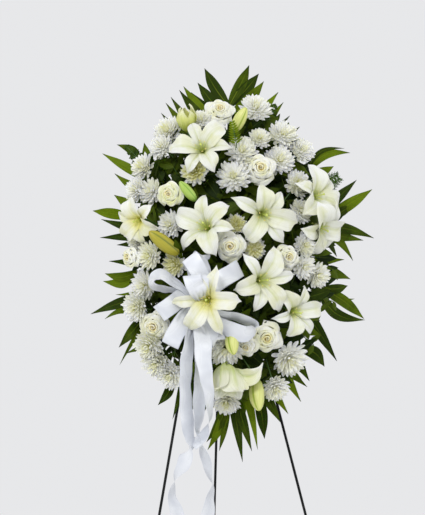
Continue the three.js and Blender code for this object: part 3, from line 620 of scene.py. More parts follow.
lilyLook = {
    "rows": 26, "columns": 13, "thick": 0.55, "size": 83, "sink": 30,
    "budLeaves": 3, "budStem": 1.8, "budTuck": 0.03,    # a side stem ends this share of its length inside its bud
    # lines from foot to tip, outward from the flower's axis and up along it
    "line": [(2.5, 2), (8, 16), (17, 33), (30, 46.5), (50, 55), (68, 51), (79, 44), (85, 37)],
    "ear": [(2.5, 2), (8, 12), (20, 24), (36, 34), (54, 37), (70, 32), (82, 23), (90, 12)],
    "bell": [(3, 2), (17, 5), (28, 17), (34, 34), (38, 51), (43, 67), (53, 79), (66, 84)],
    "goblet": [(3, 0), (13, 6), (24, 17), (31, 32), (33, 48), (30, 63), (23, 77), (14, 90)],
    "innerHalf": [2.4, 7, 14.5, 22.5, 26, 20, 9, 0.5],
    "outerHalf": [2.4, 5.5, 10, 14, 16.5, 12.5, 5.5, 0.4],
    "ruffle": 3.4, "cup": 0.24, "crease": 0.36, "twist": 22, "wobble": 0.08, "groove": 1.4, "rib": 0.9,
    "roll": 7.0, "outerDrop": 3.0,
    "throat": [(2.6, -6), (4.2, 4), (8.8, 14), (13.2, 23)],
    "style": [(0, 0, 6), (0.5, 0.3, 30), (1.5, 0.6, 50), (2.5, 1, 62)],
    "stigma": [(2.5, 1, 60), (2.6, 1, 62.5), (2.7, 1, 64.5), (2.75, 1, 66)],
    "stigmaRadii": [1.2, 2.2, 2.9, 3.1, 3.0, 2.2, 0.4], "antherRadii": [0.3, 0.9, 1.15, 1.15, 0.9, 0.3],
}
lilies = {
    "lily_top": {
        "at": (-38, 1529), "turn": (-9, 18), "radius": 80, "lift": 6, "curl": 9,
        "petals": [(160, 1.08), (90, 0.98), (25, 1.08), (340, 0.98), (278, 0.9), (220, 0.92)],
        "bud": {"at": (-83, 1620), "lift": 16, "length": 68, "lie": -5, "finish": "lilyOpening",
                "petals": [(226, 1.0), (298, 1.1), (160, 0.9), (10, 1.0), (90, 1.0)]}},
    "lily_upper_left": {
        "at": (-22, 1329), "turn": (-18, 14), "radius": 82, "lift": 5, "curl": 9,
        "petals": [(127, 1.1), (66, 1.05), (13, 0.96), (324, 0.9), (261, 1.0), (193, 1.0)],
        "bud": {"at": (-78, 1428), "lift": 18, "length": 68, "radius": 13, "lie": -40, "finish": "budGreen"}},
    "lily_upper_right": {
        "at": (109, 1372), "turn": (12, -6), "radius": 84, "lift": 6, "curl": 11,
        "petals": [(92, 0.9), (48, 0.88), (345, 1.12), (305, 1.1), (234, 0.94), (150, 1.1)]},
    "lily_bow": {
        "at": (-22, 1152), "turn": (-10, -4), "radius": 86, "lift": 48, "depth": 60, "curl": 8, "warm": True,
        "petals": [(335, 1.0), (269, 1.12), (213, 1.04), (160, 1.08), (95, 0.8), (49, 1.04)]},
    "lily_lower_right": {
        "at": (98, 1199), "turn": (24, 0), "radius": 84, "lift": 6, "curl": 7,
        "petals": [(77, 1.1), (19, 1.1), (313, 1.12), (265, 0.96), (208, 0.94), (138, 1.0)]},
    "lily_right_low": {
        "at": (180, 1121), "turn": (34, -8), "radius": 74, "lift": -10, "curl": 3,
        "petals": [(32, 1.12), (336, 1.12), (276, 0.85), (215, 0.9), (150, 0.95), (88, 0.98)]},
    "lily_bottom": {
        "at": (21, 984), "turn": (8, -74), "radius": 88, "lift": 10, "curl": 2, "line": "bell", "broad": 1.4,
        "petals": [(60, 1.08), (122, 1.0), (178, 1.12), (242, 0.9), (302, 0.9), (8, 1.0, "ear", -66)],
        "finish": "lilyGreen",
        "bud": {"at": (103, 903), "lift": 0, "length": 86, "radius": 20, "lie": 176, "finish": "bud"}},
    "lily_left": {
        "at": (-192, 1359), "turn": (-34, -14), "radius": 62, "lift": 10, "curl": 2, "warm": True, "broad": 1.25,
        "petals": [(52, 1.0), (112, 1.0), (172, 1.0), (232, 1.0), (292, 1.0), (352, 1.0)],
        "bud": {"at": (-139, 1295), "lift": 18, "length": 100, "radius": 19, "lie": -52, "finish": "budOchre"}},
    "lily_right_high": {
        "at": (236, 1412), "turn": (48, 12), "radius": 70, "lift": -6, "depth": 60, "curl": 2, "broad": 1.3,
        "petals": [(10, 1.2), (70, 1.15), (130, 1.2), (190, 1.15), (250, 1.2), (310, 1.15)]},
    "lily_right_edge": {
        "at": (250, 1345), "turn": (50, -22), "radius": 66, "lift": -10, "curl": 2, "broad": 1.5,
        "petals": [(40, 1.25), (100, 1.25), (160, 1.3), (220, 1.2), (280, 1.15), (340, 1.1)]},
}
budLook = {
    "share": [0, 0.05, 0.16, 0.32, 0.5, 0.68, 0.82, 0.92, 0.975, 1.0],      # along the bud, and its radius there
    "radius": [0.24, 0.50, 0.79, 0.96, 1.0, 0.91, 0.72, 0.47, 0.25, 0.03],
    "rings": 26, "sides": 24, "sag": 0.03, "seam": 0.075, "seamWidth": 0.16, "flank": 0.035,
    "opening": (88, 1.5),                       # an opening bud's full length, and how broad its petals are
}


def addLilyPetal(heap, at, turned, scale, angle, reach, inner, curl, line, roll, broad, rng):
    look, rows = lilyLook, lilyLook["rows"]
    t = np.linspace(0, 1, rows)
    u = np.linspace(-1, 1, look["columns"])
    off = np.abs(u)
    r, h = (smooth(look[line], rows) * scale).T
    half = smooth(look["innerHalf" if inner else "outerHalf"], rows) * scale * broad
    half = half * (1 + rng.uniform(-0.12, 0.12) * np.sin(t * math.pi) - rng.uniform(0, 0.25) * t ** 3)
    r = r * (1 + (reach - 1) * t)
    h = h - (0 if inner else look["outerDrop"])
    h = h - (curl + rng.uniform(-4, 7)) * np.maximum(0, t - 0.55) ** 2 / 0.2
    outward, side = spokes(math.radians(angle))
    spine, face = petalSpine(r, h, outward)
    bend = rng.uniform(-6, 6) * scale * np.sin(t * 3.6) * t
    turning = np.radians(rng.uniform(-1, 1) * look["twist"] * t ** 1.5 + roll * np.minimum(1, 3 * t))[:, None]
    left, right = rng.uniform(0, 6.28, 2)
    cup = (look["cup"] * (1 - 0.75 * t) * half)[:, None]
    crease = (look["crease"] * half * np.sin(np.clip(t * 1.05, 0, 1) * math.pi) ** 0.6)[:, None]
    t, half = t[:, None], half[:, None]
    wave = np.where(u < 0, np.sin(t * 19 + left), np.sin(t * 17 + right))
    ruffle = look["ruffle"] * scale * (1.0 if inner else 0.45) * np.clip((t - 0.3) * 3, 0, 1)
    ridge = look["rib"] * np.exp(-((off - 0.3) / 0.1) ** 2) - look["groove"] * np.exp(-(u / 0.14) ** 2)
    rolled = look["roll"] * scale * np.clip((t - 0.25) * 2, 0, 1) * np.maximum(0, off - 0.62) ** 2 / 0.3
    lift = (cup * u ** 2 + crease * np.sqrt(u ** 2 + 0.01) + ruffle * off ** 2.5 * wave
            + np.sin(np.clip(t * 1.12, 0, 1) * math.pi) * scale * ridge - rolled)
    across = np.cos(turning) * side + np.sin(turning) * face
    raised = np.cos(turning) * face - np.sin(turning) * side
    rim = 1 + look["wobble"] * (1.0 if inner else 0.5) * wave * np.sin(t * math.pi) * off ** 2
    grid = layGrid(spine + bend[:, None] * side, half * u * rim, across, lift, raised)
    addBlade(heap, at + grid @ turned.T, look["thick"] * (1 - 0.35 * off ** 2), 0.5 + rng.uniform(-0.25, 0.15))


# The throat, the pistil with its three-lobed head and six stamens, which stand closer in a warm lily.
def addLilyThroat(heap, at, turned, scale, rng, warm):
    angle = np.linspace(0, 2 * math.pi, 15)
    rows = smooth(lilyLook["throat"], 8) * scale
    cone = np.stack([rows[:, :1] * np.cos(angle), rows[:, :1] * np.sin(angle), rows[:, 1:] * np.ones(15)], -1)
    addBlade(heap, at + cone @ turned.T, 0.7, 0.3, 0)
    style = smooth(np.array(lilyLook["style"]) * scale, 9)
    stigma = smooth(np.array(lilyLook["stigma"]) * scale, 7)
    addTube(heap, at + style @ turned.T, 1.25, 6, 0.5, 1)
    addTube(heap, at + stigma @ turned.T, np.array(lilyLook["stigmaRadii"]), 9, 0.5, 1,
            lambda a, share: 1 + 0.16 * np.cos(3 * a))
    for k in range(6):
        a = k * math.pi / 3 + 0.4 + rng.uniform(-0.2, 0.2)
        spread = rng.uniform(8, 14) if warm else rng.uniform(13, 19)
        top = rng.uniform(50, 58) * (0.85 if warm else 1)
        line = smooth(np.array([(2, 6), (4, 26), (spread * 0.6, top * 0.8), (spread, top)]) * scale, 9)
        arm = np.stack([line[:, 0] * math.cos(a), line[:, 0] * math.sin(a), line[:, 1]], 1)
        addTube(heap, at + arm @ turned.T, np.linspace(0.75, 0.5, 9), 5, 0.5, 1)
        across = np.array([-math.sin(a), math.cos(a), 0.25])
        bar = arm[-1] + np.outer(np.linspace(-1, 1, 6), across) * 2.6 * scale
        addTube(heap, at + bar @ turned.T, np.array(lilyLook["antherRadii"]) * scale, 6, 0.5, 2)


# Where a bud starts, and its direction.
def budLine(bud):
    middle = headPlace(*bud["at"], bud["lift"])
    lie = math.radians(bud["lie"])
    along = unit(acrossAxis * math.sin(lie) + upAxis * math.cos(lie) + viewerAxis * 0.35)
    return middle - along * bud["length"] / 2, along


# A closed bud is a tube with three seams; it returns its foot, where its stem ends.
def addBud(heap, bud):
    look, third = budLook, 2 * math.pi / 3
    base, along = budLine(bud)
    share, radius = smooth(look["share"], look["rings"]), bud["radius"] * smooth(look["radius"], look["rings"])
    sag = look["sag"] * bud["length"] * np.sin(share * math.pi)
    line = base + np.outer(share * bud["length"], along) + np.outer(sag, unit(np.cross(along, upAxis)))

    def seamed(angle, place):
        off = np.minimum(angle % third, third - angle % third) / look["seamWidth"]
        seam = look["seam"] * np.exp(-off ** 2) * math.sin(math.pi * min(1, place * 1.1 + 0.05))
        return 1 - seam + look["flank"] * np.cos(3 * (angle - third / 2))

    addTube(heap, line, radius, look["sides"], 0.5, 0, seamed)
    return base


# A bud that is opening shows the backs of its petals, which stand in a goblet.
def addOpeningBud(heap, bud, rng):
    base, along = budLine(bud)
    turned = turnTo(along)
    length, broad = budLook["opening"]
    for angle, reach in bud["petals"]:
        addLilyPetal(heap, base, turned, bud["length"] / length, angle, reach, False, 0, "goblet", 0, broad, rng)
    return base


for number, (name, lily) in enumerate(lilies.items()):
    rng = dice("lily", number)
    scale = lily["radius"] / lilyLook["size"]
    at = headPlace(*lily["at"], lily["lift"] - lilyLook["sink"])
    turned = turnTo(facing(*lily["turn"]))
    petals, green = newHeap(), newHeap()
    for k, (angle, reach, *own) in enumerate(lily["petals"]):
        line, roll = own or (lily.get("line", "line"), 0)
        addLilyPetal(petals, at, turned, scale, angle, reach, k % 2 == 0, lily["curl"], line, roll,
                     lily.get("broad", 1.0), rng)
    addLilyThroat(petals, at, turned, scale, rng, lily.get("warm", False))
    root = rootOf(at, lily.get("depth", setting["rootDepth"]))
    addStem(green, root, at, rng, stemLook["leaves"])
    if "bud" in lily:
        bud, closed = lily["bud"], newHeap()
        base = addOpeningBud(closed, bud, rng) if "petals" in bud else addBud(closed, bud)
        fork = root + setting["fork"] * (at - root)
        tuck = lilyLook["budTuck"] * (base - fork)
        addStem(green, fork, base + tuck, rng, lilyLook["budLeaves"], lilyLook["budStem"])
        makePiece(name + "_bud", closed, [bud["finish"]], [name])
    petalLook = lily.get("finish", "lilyWarm" if lily.get("warm") else "lily")
    makePiece(name + "_flower", petals, [petalLook, "pistil", "anther"], [name])
    makeStem(name + "_stem", green, [name])
print("lilies made")

buds = {
    "bud_top": {"at": (57, 1617), "lift": 14, "length": 74, "radius": 16.5, "lie": 28, "finish": "bud"},
    "bud_under_bow": {"at": (38, 1042), "lift": 14, "length": 70, "radius": 18, "lie": 176, "finish": "bud"},
}
for number, (name, bud) in enumerate(buds.items()):
    rng = dice("bud", number)
    closed, green = newHeap(), newHeap()
    base = addBud(closed, bud)
    addStem(green, rootOf(base), base, rng, 6)
    makePiece(name + "_closed", closed, [bud["finish"]], [name])
    makeStem(name + "_stem", green, [name])
print("buds made")

# Chrysanthemums: whorls of narrow cupped rays, the lowest lying flat and the inmost curling over the heart.

mumLook = {
    "rows": 7, "columns": 5, "thick": 0.5, "half": 0.13, "size": 1.15,
    # each whorl: number of rays, radius and height of their tips, height of their feet, share of the full width
    "whorls": [(15, 1.08, 0.04, -0.18, 1.0), (15, 1.0, 0.24, -0.12, 1.0), (14, 0.88, 0.42, -0.06, 0.95),
               (12, 0.70, 0.56, 0.0, 0.85), (9, 0.50, 0.68, 0.06, 0.7), (6, 0.28, 0.68, 0.10, 0.55)],
    "width": [0.30, 0.50, 0.78, 0.98, 1.0, 0.78, 0.2],
    "florets": 19, "floretRadii": [0.025, 0.034, 0.036, 0.03, 0.01],
    "sink": 0.6, "neck": 0.4,                   # how far a head's middle and its neck lie below, in its radii
    "cup": [(-1.5, 3, 7, 10), (1.8, 4.5, 6.5, 6.8), 32], "leaves": (6, 5), "stem": 1.7, "bend": 3,
}
# Each head: across, height, its radius and how far it is lifted off the dome.
mums = {
    "mum_top_left": [(-44, 1615, 26), (-130, 1587, 36), (-147, 1545, 31)],
    "mum_left_high": [(-195, 1493, 32), (-211, 1433, 31), (-174, 1428, 32, -10)],
    "mum_top": [(99, 1649, 37), (109, 1568, 26), (62, 1534, 37)],
    "mum_top_right": [(169, 1579, 36), (221, 1538, 31), (159, 1511, 37)],
    "mum_right_high": [(208, 1449, 33), (213, 1377, 29)],
    "mum_right": [(225, 1290, 29), (222, 1233, 30), (259, 1211, 31)],
    "mum_upper": [(-60, 1480, 34), (39, 1466, 38)],
    "mum_middle": [(47, 1343, 24, -8), (93, 1279, 26, -16)],
    "mum_left": [(-123, 1342, 32, -14), (-112, 1239, 30, -20)],
    "mum_left_middle": [(-176, 1262, 33), (-211, 1298, 24, -32), (-190, 1186, 34, -16)],
    "mum_left_low": [(-211, 1130, 36), (-177, 1030, 38), (-158, 984, 38), (-122, 956, 36)],
    "mum_right_low": [(185, 995, 42), (148, 921, 33)],
    "mum_bottom": [(21, 886, 35, -26)],
    "mum_under_bow": [(19, 1022, 39, 0)],
}
greenHeads = {("mum_upper", 0), ("mum_middle", 0), ("mum_middle", 1), ("mum_left", 1)}


def addRay(heap, at, turned, size, angle, radius, height, foot, half, rng, tone, finish):
    t = np.linspace(0, 1, mumLook["rows"])
    u = np.linspace(-1, 1, mumLook["columns"])
    r = 0.05 + (radius - 0.05) * (1 - (1 - t) ** 1.35)
    h = foot + (height - foot) * t ** 1.5 + 0.10 * radius * np.sin(t * math.pi) * (0.4 - radius)
    width = half * smooth(mumLook["width"], mumLook["rows"])[:, None]
    twist = rng.uniform(-0.35, 0.35)
    outward, side = spokes(angle)
    spine, face = petalSpine(r, h, outward)
    lift = 0.42 * width * u ** 2 - 0.10 * width * np.cos(u * math.pi * 2)
    bend = rng.uniform(-0.05, 0.05) * t ** 2
    grid = layGrid(spine + bend[:, None] * side, width * u, side + twist * t[:, None] * face, lift, face)
    addBlade(heap, at + size * grid @ turned.T, mumLook["thick"], tone, finish)


def addMum(heap, at, direction, size, rng, green):
    turned = turnTo(direction, rng.uniform(0, 60))
    heart, heartFrom = (2, 2) if green else (1, 5)      # its finish, and the first whorl that wears it
    for ring, (count, radius, height, foot, wide) in enumerate(mumLook["whorls"]):
        for k in range(count):
            angle = 2 * math.pi * (k + 0.5 * (ring % 2) + rng.uniform(-0.26, 0.26)) / count
            share = rng.uniform(0.84, 1.05)
            addRay(heap, at, turned, size, angle, radius * share, height + rng.uniform(-0.08, 0.08), foot,
                   mumLook["half"] * wide * rng.uniform(0.85, 1.12), rng, 0.5 + rng.uniform(-0.25, 0.2),
                   heart if ring >= heartFrom else 0)
    # the heart: a tight dome of unopened florets
    for k in range(mumLook["florets"]):
        r = 0.16 * math.sqrt((k + 0.5) / mumLook["florets"])
        outward = spokes(k * spiral)[0]
        foot, top = r * outward + 0.2 * upAxis, r * 0.8 * outward + (0.56 - 2.4 * r * r) * upAxis
        addTube(heap, at + size * smooth([foot, (foot + top) / 2, top], 5) @ turned.T,
                size * np.array(mumLook["floretRadii"]), 5, 0.4, heart)


for number, (name, heads) in enumerate(mums.items()):
    rng = dice("mum", number)
    rays, green = newHeap(), newHeap()
    bases = [headPlace(across, height, sum(lift) - mumLook["sink"] * radius)
             for across, height, radius, *lift in heads]
    middle = sum(bases) / len(bases)
    root = rootOf(middle)
    fork = root + setting["fork"] * (middle - root)
    low, high = mumLook["leaves"]
    addStem(green, root, fork, rng, low)
    for k, ((across, height, radius, *lift), base) in enumerate(zip(heads, bases)):
        direction = facingOutward(across, height)
        addMum(rays, base, direction, radius * mumLook["size"], rng, (name, k) in greenHeads)
        neck = base - direction * mumLook["neck"] * radius
        start = fork + unit(root - fork) * (2 + 3 * k)
        addStem(green, start, neck, rng, high, mumLook["stem"], bend=mumLook["bend"])
        addCup(green, neck, direction, mumLook["cup"], radius, 9)
    makePiece(name + "_heads", rays, ["mum", "mumHeart", "mumGreen"], [name])
    makeStem(name + "_stem", green, [name])
print("chrysanthemums made")

# Roses: petals in one spiral from a tight heart to open outer petals whose rims roll back.

roseLook = {
    "rows": 14, "columns": 13, "thick": 0.8, "petals": 16, "turn": 137.5, "heartShare": 0.24,
    # from the heart to the outermost petal: radius, height, half angle and roll of its rim
    "rim": (0.15, 1.0), "top": (0.58, 0.02), "half": (100, 50), "roll": (0.03, 0.17),
    # a petal from foot to lip: share of its rim's radius, and height below its top
    "line": [(0.36, -0.62), (0.66, -0.40), (0.82, -0.14), (0.91, -0.02), (0.98, 0.0), (1.04, -0.02),
             (1.09, -0.07)],
    "sepals": 5, "sepal": (0.8, 4.2),           # a sepal's length as a share of the radius, and its half width
    "sink": 0.5, "neck": 0.42, "cup": [(-2, 3, 8, 11), (2.2, 5.0, 6.0, 5.0), 36], "leaves": (8, 4), "stem": 1.8,
}
roses = {
    "rose_top": [{"at": (5, 1638), "turn": (0, 32), "radius": 36, "closed": 0.4}],
    "rose_left": [{"at": (-120, 1420), "turn": (-22, 4), "radius": 37, "closed": 0.9, "finish": "roseGreen"}],
    "rose_upper": [{"at": (109, 1489), "turn": (6, 8), "radius": 37}],
    "rose_middle": [{"at": (30, 1287), "turn": (2, -4), "radius": 36}],
    "rose_left_low": [{"at": (-162, 1082), "turn": (-20, -14), "radius": 38, "lift": -16}],
    "rose_pair": [{"at": (122, 1053), "turn": (12, -14), "radius": 38},
                  {"at": (72, 1029), "turn": (-4, -20), "radius": 26, "lift": -8}],
    "rose_right": [{"at": (179, 1259), "turn": (22, 0), "radius": 30}],
    "rose_left_edge": [{"at": (-226, 1258), "turn": (-46, 0), "radius": 26, "depth": 37}],
}


def addRosePetal(heap, at, turned, size, angle, share, closed, rng, finish):
    look = roseLook
    v = np.linspace(0, 1, look["rows"])[:, None]
    u = np.linspace(-1, 1, look["columns"])[None]

    def between(key, power):
        return look[key][0] + (look[key][1] - look[key][0]) * share ** power

    rim = between("rim", 0.9) * (1 - 0.2 * closed)
    top = between("top", 1.7) + rng.uniform(-0.03, 0.03) + closed * (0.1 + 0.35 * share)
    half = math.radians(between("half", 0.6)) * rng.uniform(0.94, 1.06)
    roll = between("roll", 1.3) * rng.uniform(0.6, 1.4)
    line = smooth(look["line"], look["rows"])
    widening = (0.6 + 0.4 * np.minimum(1, v * 1.5) ** 0.7) * (1 - 0.25 * np.maximum(0, v - 0.6) / 0.4)
    a = math.radians(angle) + u * half * widening
    over = np.maximum(0, v - 0.55) / 0.45
    centre = np.exp(-(u / 0.55) ** 2)
    r = rim * line[:, :1] * (1 + 0.05 * u * (1 - 0.4 * share)) + roll * over ** 2 * (0.4 + centre)
    h = top + line[:, 1:] * (0.5 + 0.5 * share) - (0.08 + 0.2 * share) * np.abs(u) ** 2.6 * v ** 2
    h = h - 0.7 * roll * over ** 2
    wave, wave2 = rng.uniform(0, 6.28, 2)
    h = h + (0.012 + 0.03 * share) * np.sin(u * 5 + wave) * v ** 3
    r = r + (0.01 + 0.03 * share) * np.sin(u * 3.6 + wave2) * v ** 3
    grid = np.stack([r * np.cos(a), r * np.sin(a), h * np.ones_like(a)], -1)
    addBlade(heap, at + size * grid @ turned.T, look["thick"], 0.5 + rng.uniform(-0.2, 0.3), finish)


# A rose's heart is one petal rolled up.
def addRoseHeart(heap, at, turned, size):
    v = np.linspace(0, 1, 8)[:, None]
    roll = np.linspace(0, 2.1 * math.pi, 22)[None]
    r = (0.02 + 0.017 * roll) * (0.6 + 0.4 * v)
    height = -0.2 + 0.84 * v * np.ones_like(roll) - 0.006 * roll ** 1.2 * v
    heart = np.stack([r * np.cos(roll), r * np.sin(roll), height], -1)
    addBlade(heap, at + size * heart @ turned.T, 0.6, 0.8, 1)


for number, (name, heads) in enumerate(roses.items()):
    rng = dice("rose", number)
    petals, green = newHeap(), newHeap()
    for k, head in enumerate(heads):
        size = head["radius"]
        base = headPlace(*head["at"], head.get("lift", 0) - roseLook["sink"] * size)
        direction = facing(*head["turn"])
        turned = turnTo(direction, rng.uniform(0, 70))
        for p in range(roseLook["petals"]):
            share = p / (roseLook["petals"] - 1)
            addRosePetal(petals, base, turned, size, p * roseLook["turn"] + rng.uniform(-9, 9), share,
                         head.get("closed", 0), rng, 1 if share < roseLook["heartShare"] else 0)
        addRoseHeart(petals, base, turned, size)
        neck = base - direction * roseLook["neck"] * size
        if k == 0:
            root = rootOf(neck, head.get("depth", setting["rootDepth"]))
            fork = root + setting["fork"] * (neck - root)
            addStem(green, root, neck, rng, roseLook["leaves"][0])
        else:
            addStem(green, fork, neck, rng, roseLook["leaves"][1], roseLook["stem"])
        addCup(green, neck, direction, roseLook["cup"], size, 10)
        for s in range(roseLook["sepals"]):
            out = turned @ spokes(2 * math.pi * s / roseLook["sepals"])[0]
            length, half = roseLook["sepal"]
            addLeaf(green, neck + direction * 5 + out * 4, out + direction * 0.25, direction, length * size,
                    half, 0.6, 1, 0.3, 0.3)
    makePiece(name + "_blooms", petals, [heads[0].get("finish", "rose"), "roseHeart"], [name])
    makeStem(name + "_stem", green, [name])
print("roses made")

# Filler: leafy sprigs set in the foam between the blooms, below them, so that no gap shows through.

fillerLook = {
    "pieces": 4, "sprigs": 138, "leaves": 12, "length": (56, 90), "half": (12, 20), "radius": 1.3,
    "reach": 0.92, "below": 62, "root": 30, "turn": 2.39996,    # the sprigs' places spiral out over the dome
}
for part in range(fillerLook["pieces"]):
    rng = dice("filler", part)
    green = newHeap()
    for k in range(part, fillerLook["sprigs"], fillerLook["pieces"]):
        share = fillerLook["reach"] * math.sqrt((k + 0.7) / fillerLook["sprigs"])
        turn = k * fillerLook["turn"]
        across = setting["domeAcross"] + share * setting["domeHalfWidth"] * math.cos(turn)
        height = setting["domeHeight"] + share * setting["domeHalfHeight"] * math.sin(turn)
        end = headPlace(across, height, -fillerLook["below"] - rng.uniform(0, 18))
        root = rootOf(end, fillerLook["root"])
        outward = facingOutward(across, height)
        addStem(green, root, end, rng, 0, fillerLook["radius"], bend=rng.uniform(-8, 8))
        stalk = unit(end - root)
        right = unit(np.cross(upAxis, outward))
        for leaf in range(fillerLook["leaves"]):
            base = root + (end - root) * (0.42 + 0.58 * (leaf + 1) / fillerLook["leaves"])
            turn = leaf * spiral + k
            aside = right * math.cos(turn) + np.cross(outward, right) * math.sin(turn)
            slim = (1.2 if leaf < 4 else 1) - 0.55 * max(0, share - 0.7) / 0.22    # less towards the rim
            length = rng.uniform(*fillerLook["length"]) * slim
            addLeaf(green, base, aside + stalk * rng.uniform(0.1, 0.7), outward + aside * 0.2, length,
                    rng.uniform(*fillerLook["half"]) * slim, rng.uniform(0.0, 0.9), 1, rng.uniform(0.0, 0.25),
                    rng.uniform(0.08, 0.3), rng.uniform(-30, 30), 7, 3)
    makeStem("filler_leaves_" + str(part + 1), green, [])
print("filler leaves made")

# Palm fronds and ferns: leaflets in pairs along a rib, arched over its length and drooping to their tips.

palmLook = {
    "root": 26, "half": 13.5, "rib": 2.4, "ribTaper": 0.45, "arch": 4, "droop": 7, "fold": 1.6, "angle": 40,
    "bow": (2, 9), "bowLimit": 0.2, "lowest": -36, "rows": 18, "columns": 7, "thick": 0.5,
}
palmWidths = [0.30, 0.56, 0.77, 0.92, 0.99, 1.0, 0.94, 0.80, 0.57, 0.28, 0.02]     # from foot to tip
# A leaflet is given by its tip, as the camera sees it: across and height. Where they show, its middle's across
# and height follow, and then the half width that is its own.
fronds = {
    "frond_top": {"tip": (29, 1662), "out": 34, "rib": 162, "half": 16, "tips": [
        (-148, 1633), (-136, 1660), (-123, 1676), (-101, 1693), (-90, 1703), (-70, 1688), (-53, 1712),
        (-35, 1749), (213, 1598), (187, 1627), (170, 1661), (157, 1688), (119, 1716), (106, 1736), (81, 1758)]},
    "frond_bottom": {"tip": (29, 872), "out": 62, "rib": 135, "half": 13, "angle": 25, "tips": [
        (-58, 812), (-30, 778, -9, 806), (-27, 758, -3, 799), (3, 755, 13, 793, 8), (64, 726, 53, 797),
        (88, 755, 74, 800), (103, 758, 93, 819), (-24, 851), (112, 851)]},
    "frond_upper_right": {"tip": (236, 1482), "out": 18, "rib": 60, "tips": [
        (344, 1530, 287, 1527), (329, 1541, 271, 1535, 6), (300, 1494)]},
    "frond_right": {"tip": (308, 1362), "out": 34, "rib": 84, "half": 16, "angle": 22, "tips": [
        (402, 1435, 343, 1397), (360, 1459, 332, 1433), (406, 1308, 356, 1326), (378, 1302, 339, 1309),
        (352, 1249, 326, 1291), (348, 1391)]},
    "frond_right_low": {"tip": (282, 1176), "out": 18, "rib": 84, "half": 15.5, "angle": 20, "tips": [
        (329, 1252, 270, 1248), (345, 1201, 309, 1216), (338, 1184, 283, 1176), (380, 1098, 317, 1150),
        (382, 1095, 316, 1106), (356, 1150, 330, 1147, 7), (309, 988, 277, 1040)]},
    "frond_lower_right": {"tip": (214, 1018), "out": 34, "rib": 84, "half": 18, "angle": 18, "tips": [
        (277, 974, 247, 1012), (238, 936, 222, 962), (232, 921, 204, 942), (216, 882, 190, 925), (270, 1053)]},
    "frond_bottom_right": {"tip": (104, 908), "out": 46, "rib": 84, "half": 15, "angle": 22, "tips": [
        (183, 850, 165, 877), (163, 828, 144, 862), (121, 786, 115, 842), (60, 801)]},
    "frond_upper_left": {"tip": (-206, 1496), "out": 18, "rib": 84, "tips": [
        (-192, 1556), (-263, 1551, -220, 1534), (-301, 1528, -260, 1505), (-269, 1476, -245, 1456),
        (-258, 1402, -232, 1405, 9), (-160, 1600)]},
    "frond_left": {"tip": (-228, 1364), "out": 34, "rib": 84, "angle": 25, "tips": [
        (-326, 1379, -276, 1372), (-304, 1357, -270, 1346), (-307, 1309, -263, 1311), (-270, 1420),
        (-263, 1290)]},
    "frond_left_middle": {"tip": (-212, 1222), "out": 18, "rib": 81, "half": 13.5, "angle": 25, "tips": [
        (-283, 1248, -243, 1246), (-294, 1216, -253, 1206), (-298, 1196, -253, 1190),
        (-266, 1161, -227, 1161, 9)]},
    "frond_left_low": {"tip": (-222, 1096), "out": 34, "rib": 84, "half": 16, "angle": 25, "tips": [
        (-330, 1111, -276, 1132), (-295, 1097, -276, 1113, 7), (-257, 1024, -227, 1060),
        (-256, 978, -233, 1022, 7)]},
    "frond_bottom_left": {"tip": (-122, 948), "out": 50, "rib": 84, "half": 11.5, "angle": 30, "bow": (7, 14),
                          "tips": [(-156, 874, -126, 916), (-118, 837, -109, 864), (-92, 812), (-70, 851),
                                   (-241, 1007, -214, 1018)]},
}
fernLook = {"root": 37, "rib": 1.2, "arch": 6, "droop": 20, "pinnules": 8, "pinnule": 13, "thick": 0.4}
ferns = {
    "fern_right": {"tip": (318, 1470), "out": 62, "pairs": 11, "leaf": 46, "taper": 0.62, "step": 9,
                   "spread": (50, 62), "pinnule": 8.5},
    "fern_top": {"tip": (150, 1660), "out": 60, "pairs": 8, "leaf": 36, "taper": 0.85, "step": 15,
                 "spread": (60, 74)},
    "fern_left": {"tip": (-236, 1545), "out": 60, "pairs": 8, "leaf": 36, "taper": 0.85, "step": 15,
                  "spread": (60, 74)},
}


# What a frond is laid out by: the root of its stem, its directions, and the place of a point so far aside, along
# and up from the foot of its rib, on a surface that arches and droops.
def layFrond(frond, rib, look):
    end = spot(*frond["tip"], frond["out"])
    root = rootOf(end, look["root"])
    along = unit(end - root)
    face = unit(viewerAxis - along * (viewerAxis @ along))
    side = np.cross(along, face)
    foot = end - along * rib

    def place(x, y, rise):
        x, y = np.asarray(x, float), np.asarray(y, float)
        drop = -look["droop"] * (np.abs(x) / 100) ** 2 - look["arch"] * (np.maximum(0, y) / 100) ** 2
        return foot + x[..., None] * side + y[..., None] * along + (rise + drop)[..., None] * face

    return root, (side, along, face), place


# A rib from the foot of its first leaflets to its end, and the stem that it stands on.
def addRib(heap, line, radii, sides, root):
    addTube(heap, line, radii, sides, 0.6, 1)
    addTube(heap, root + np.outer(np.linspace(0, 1, 8), line[0] - root), 2.5, 7, 0.5, 1)


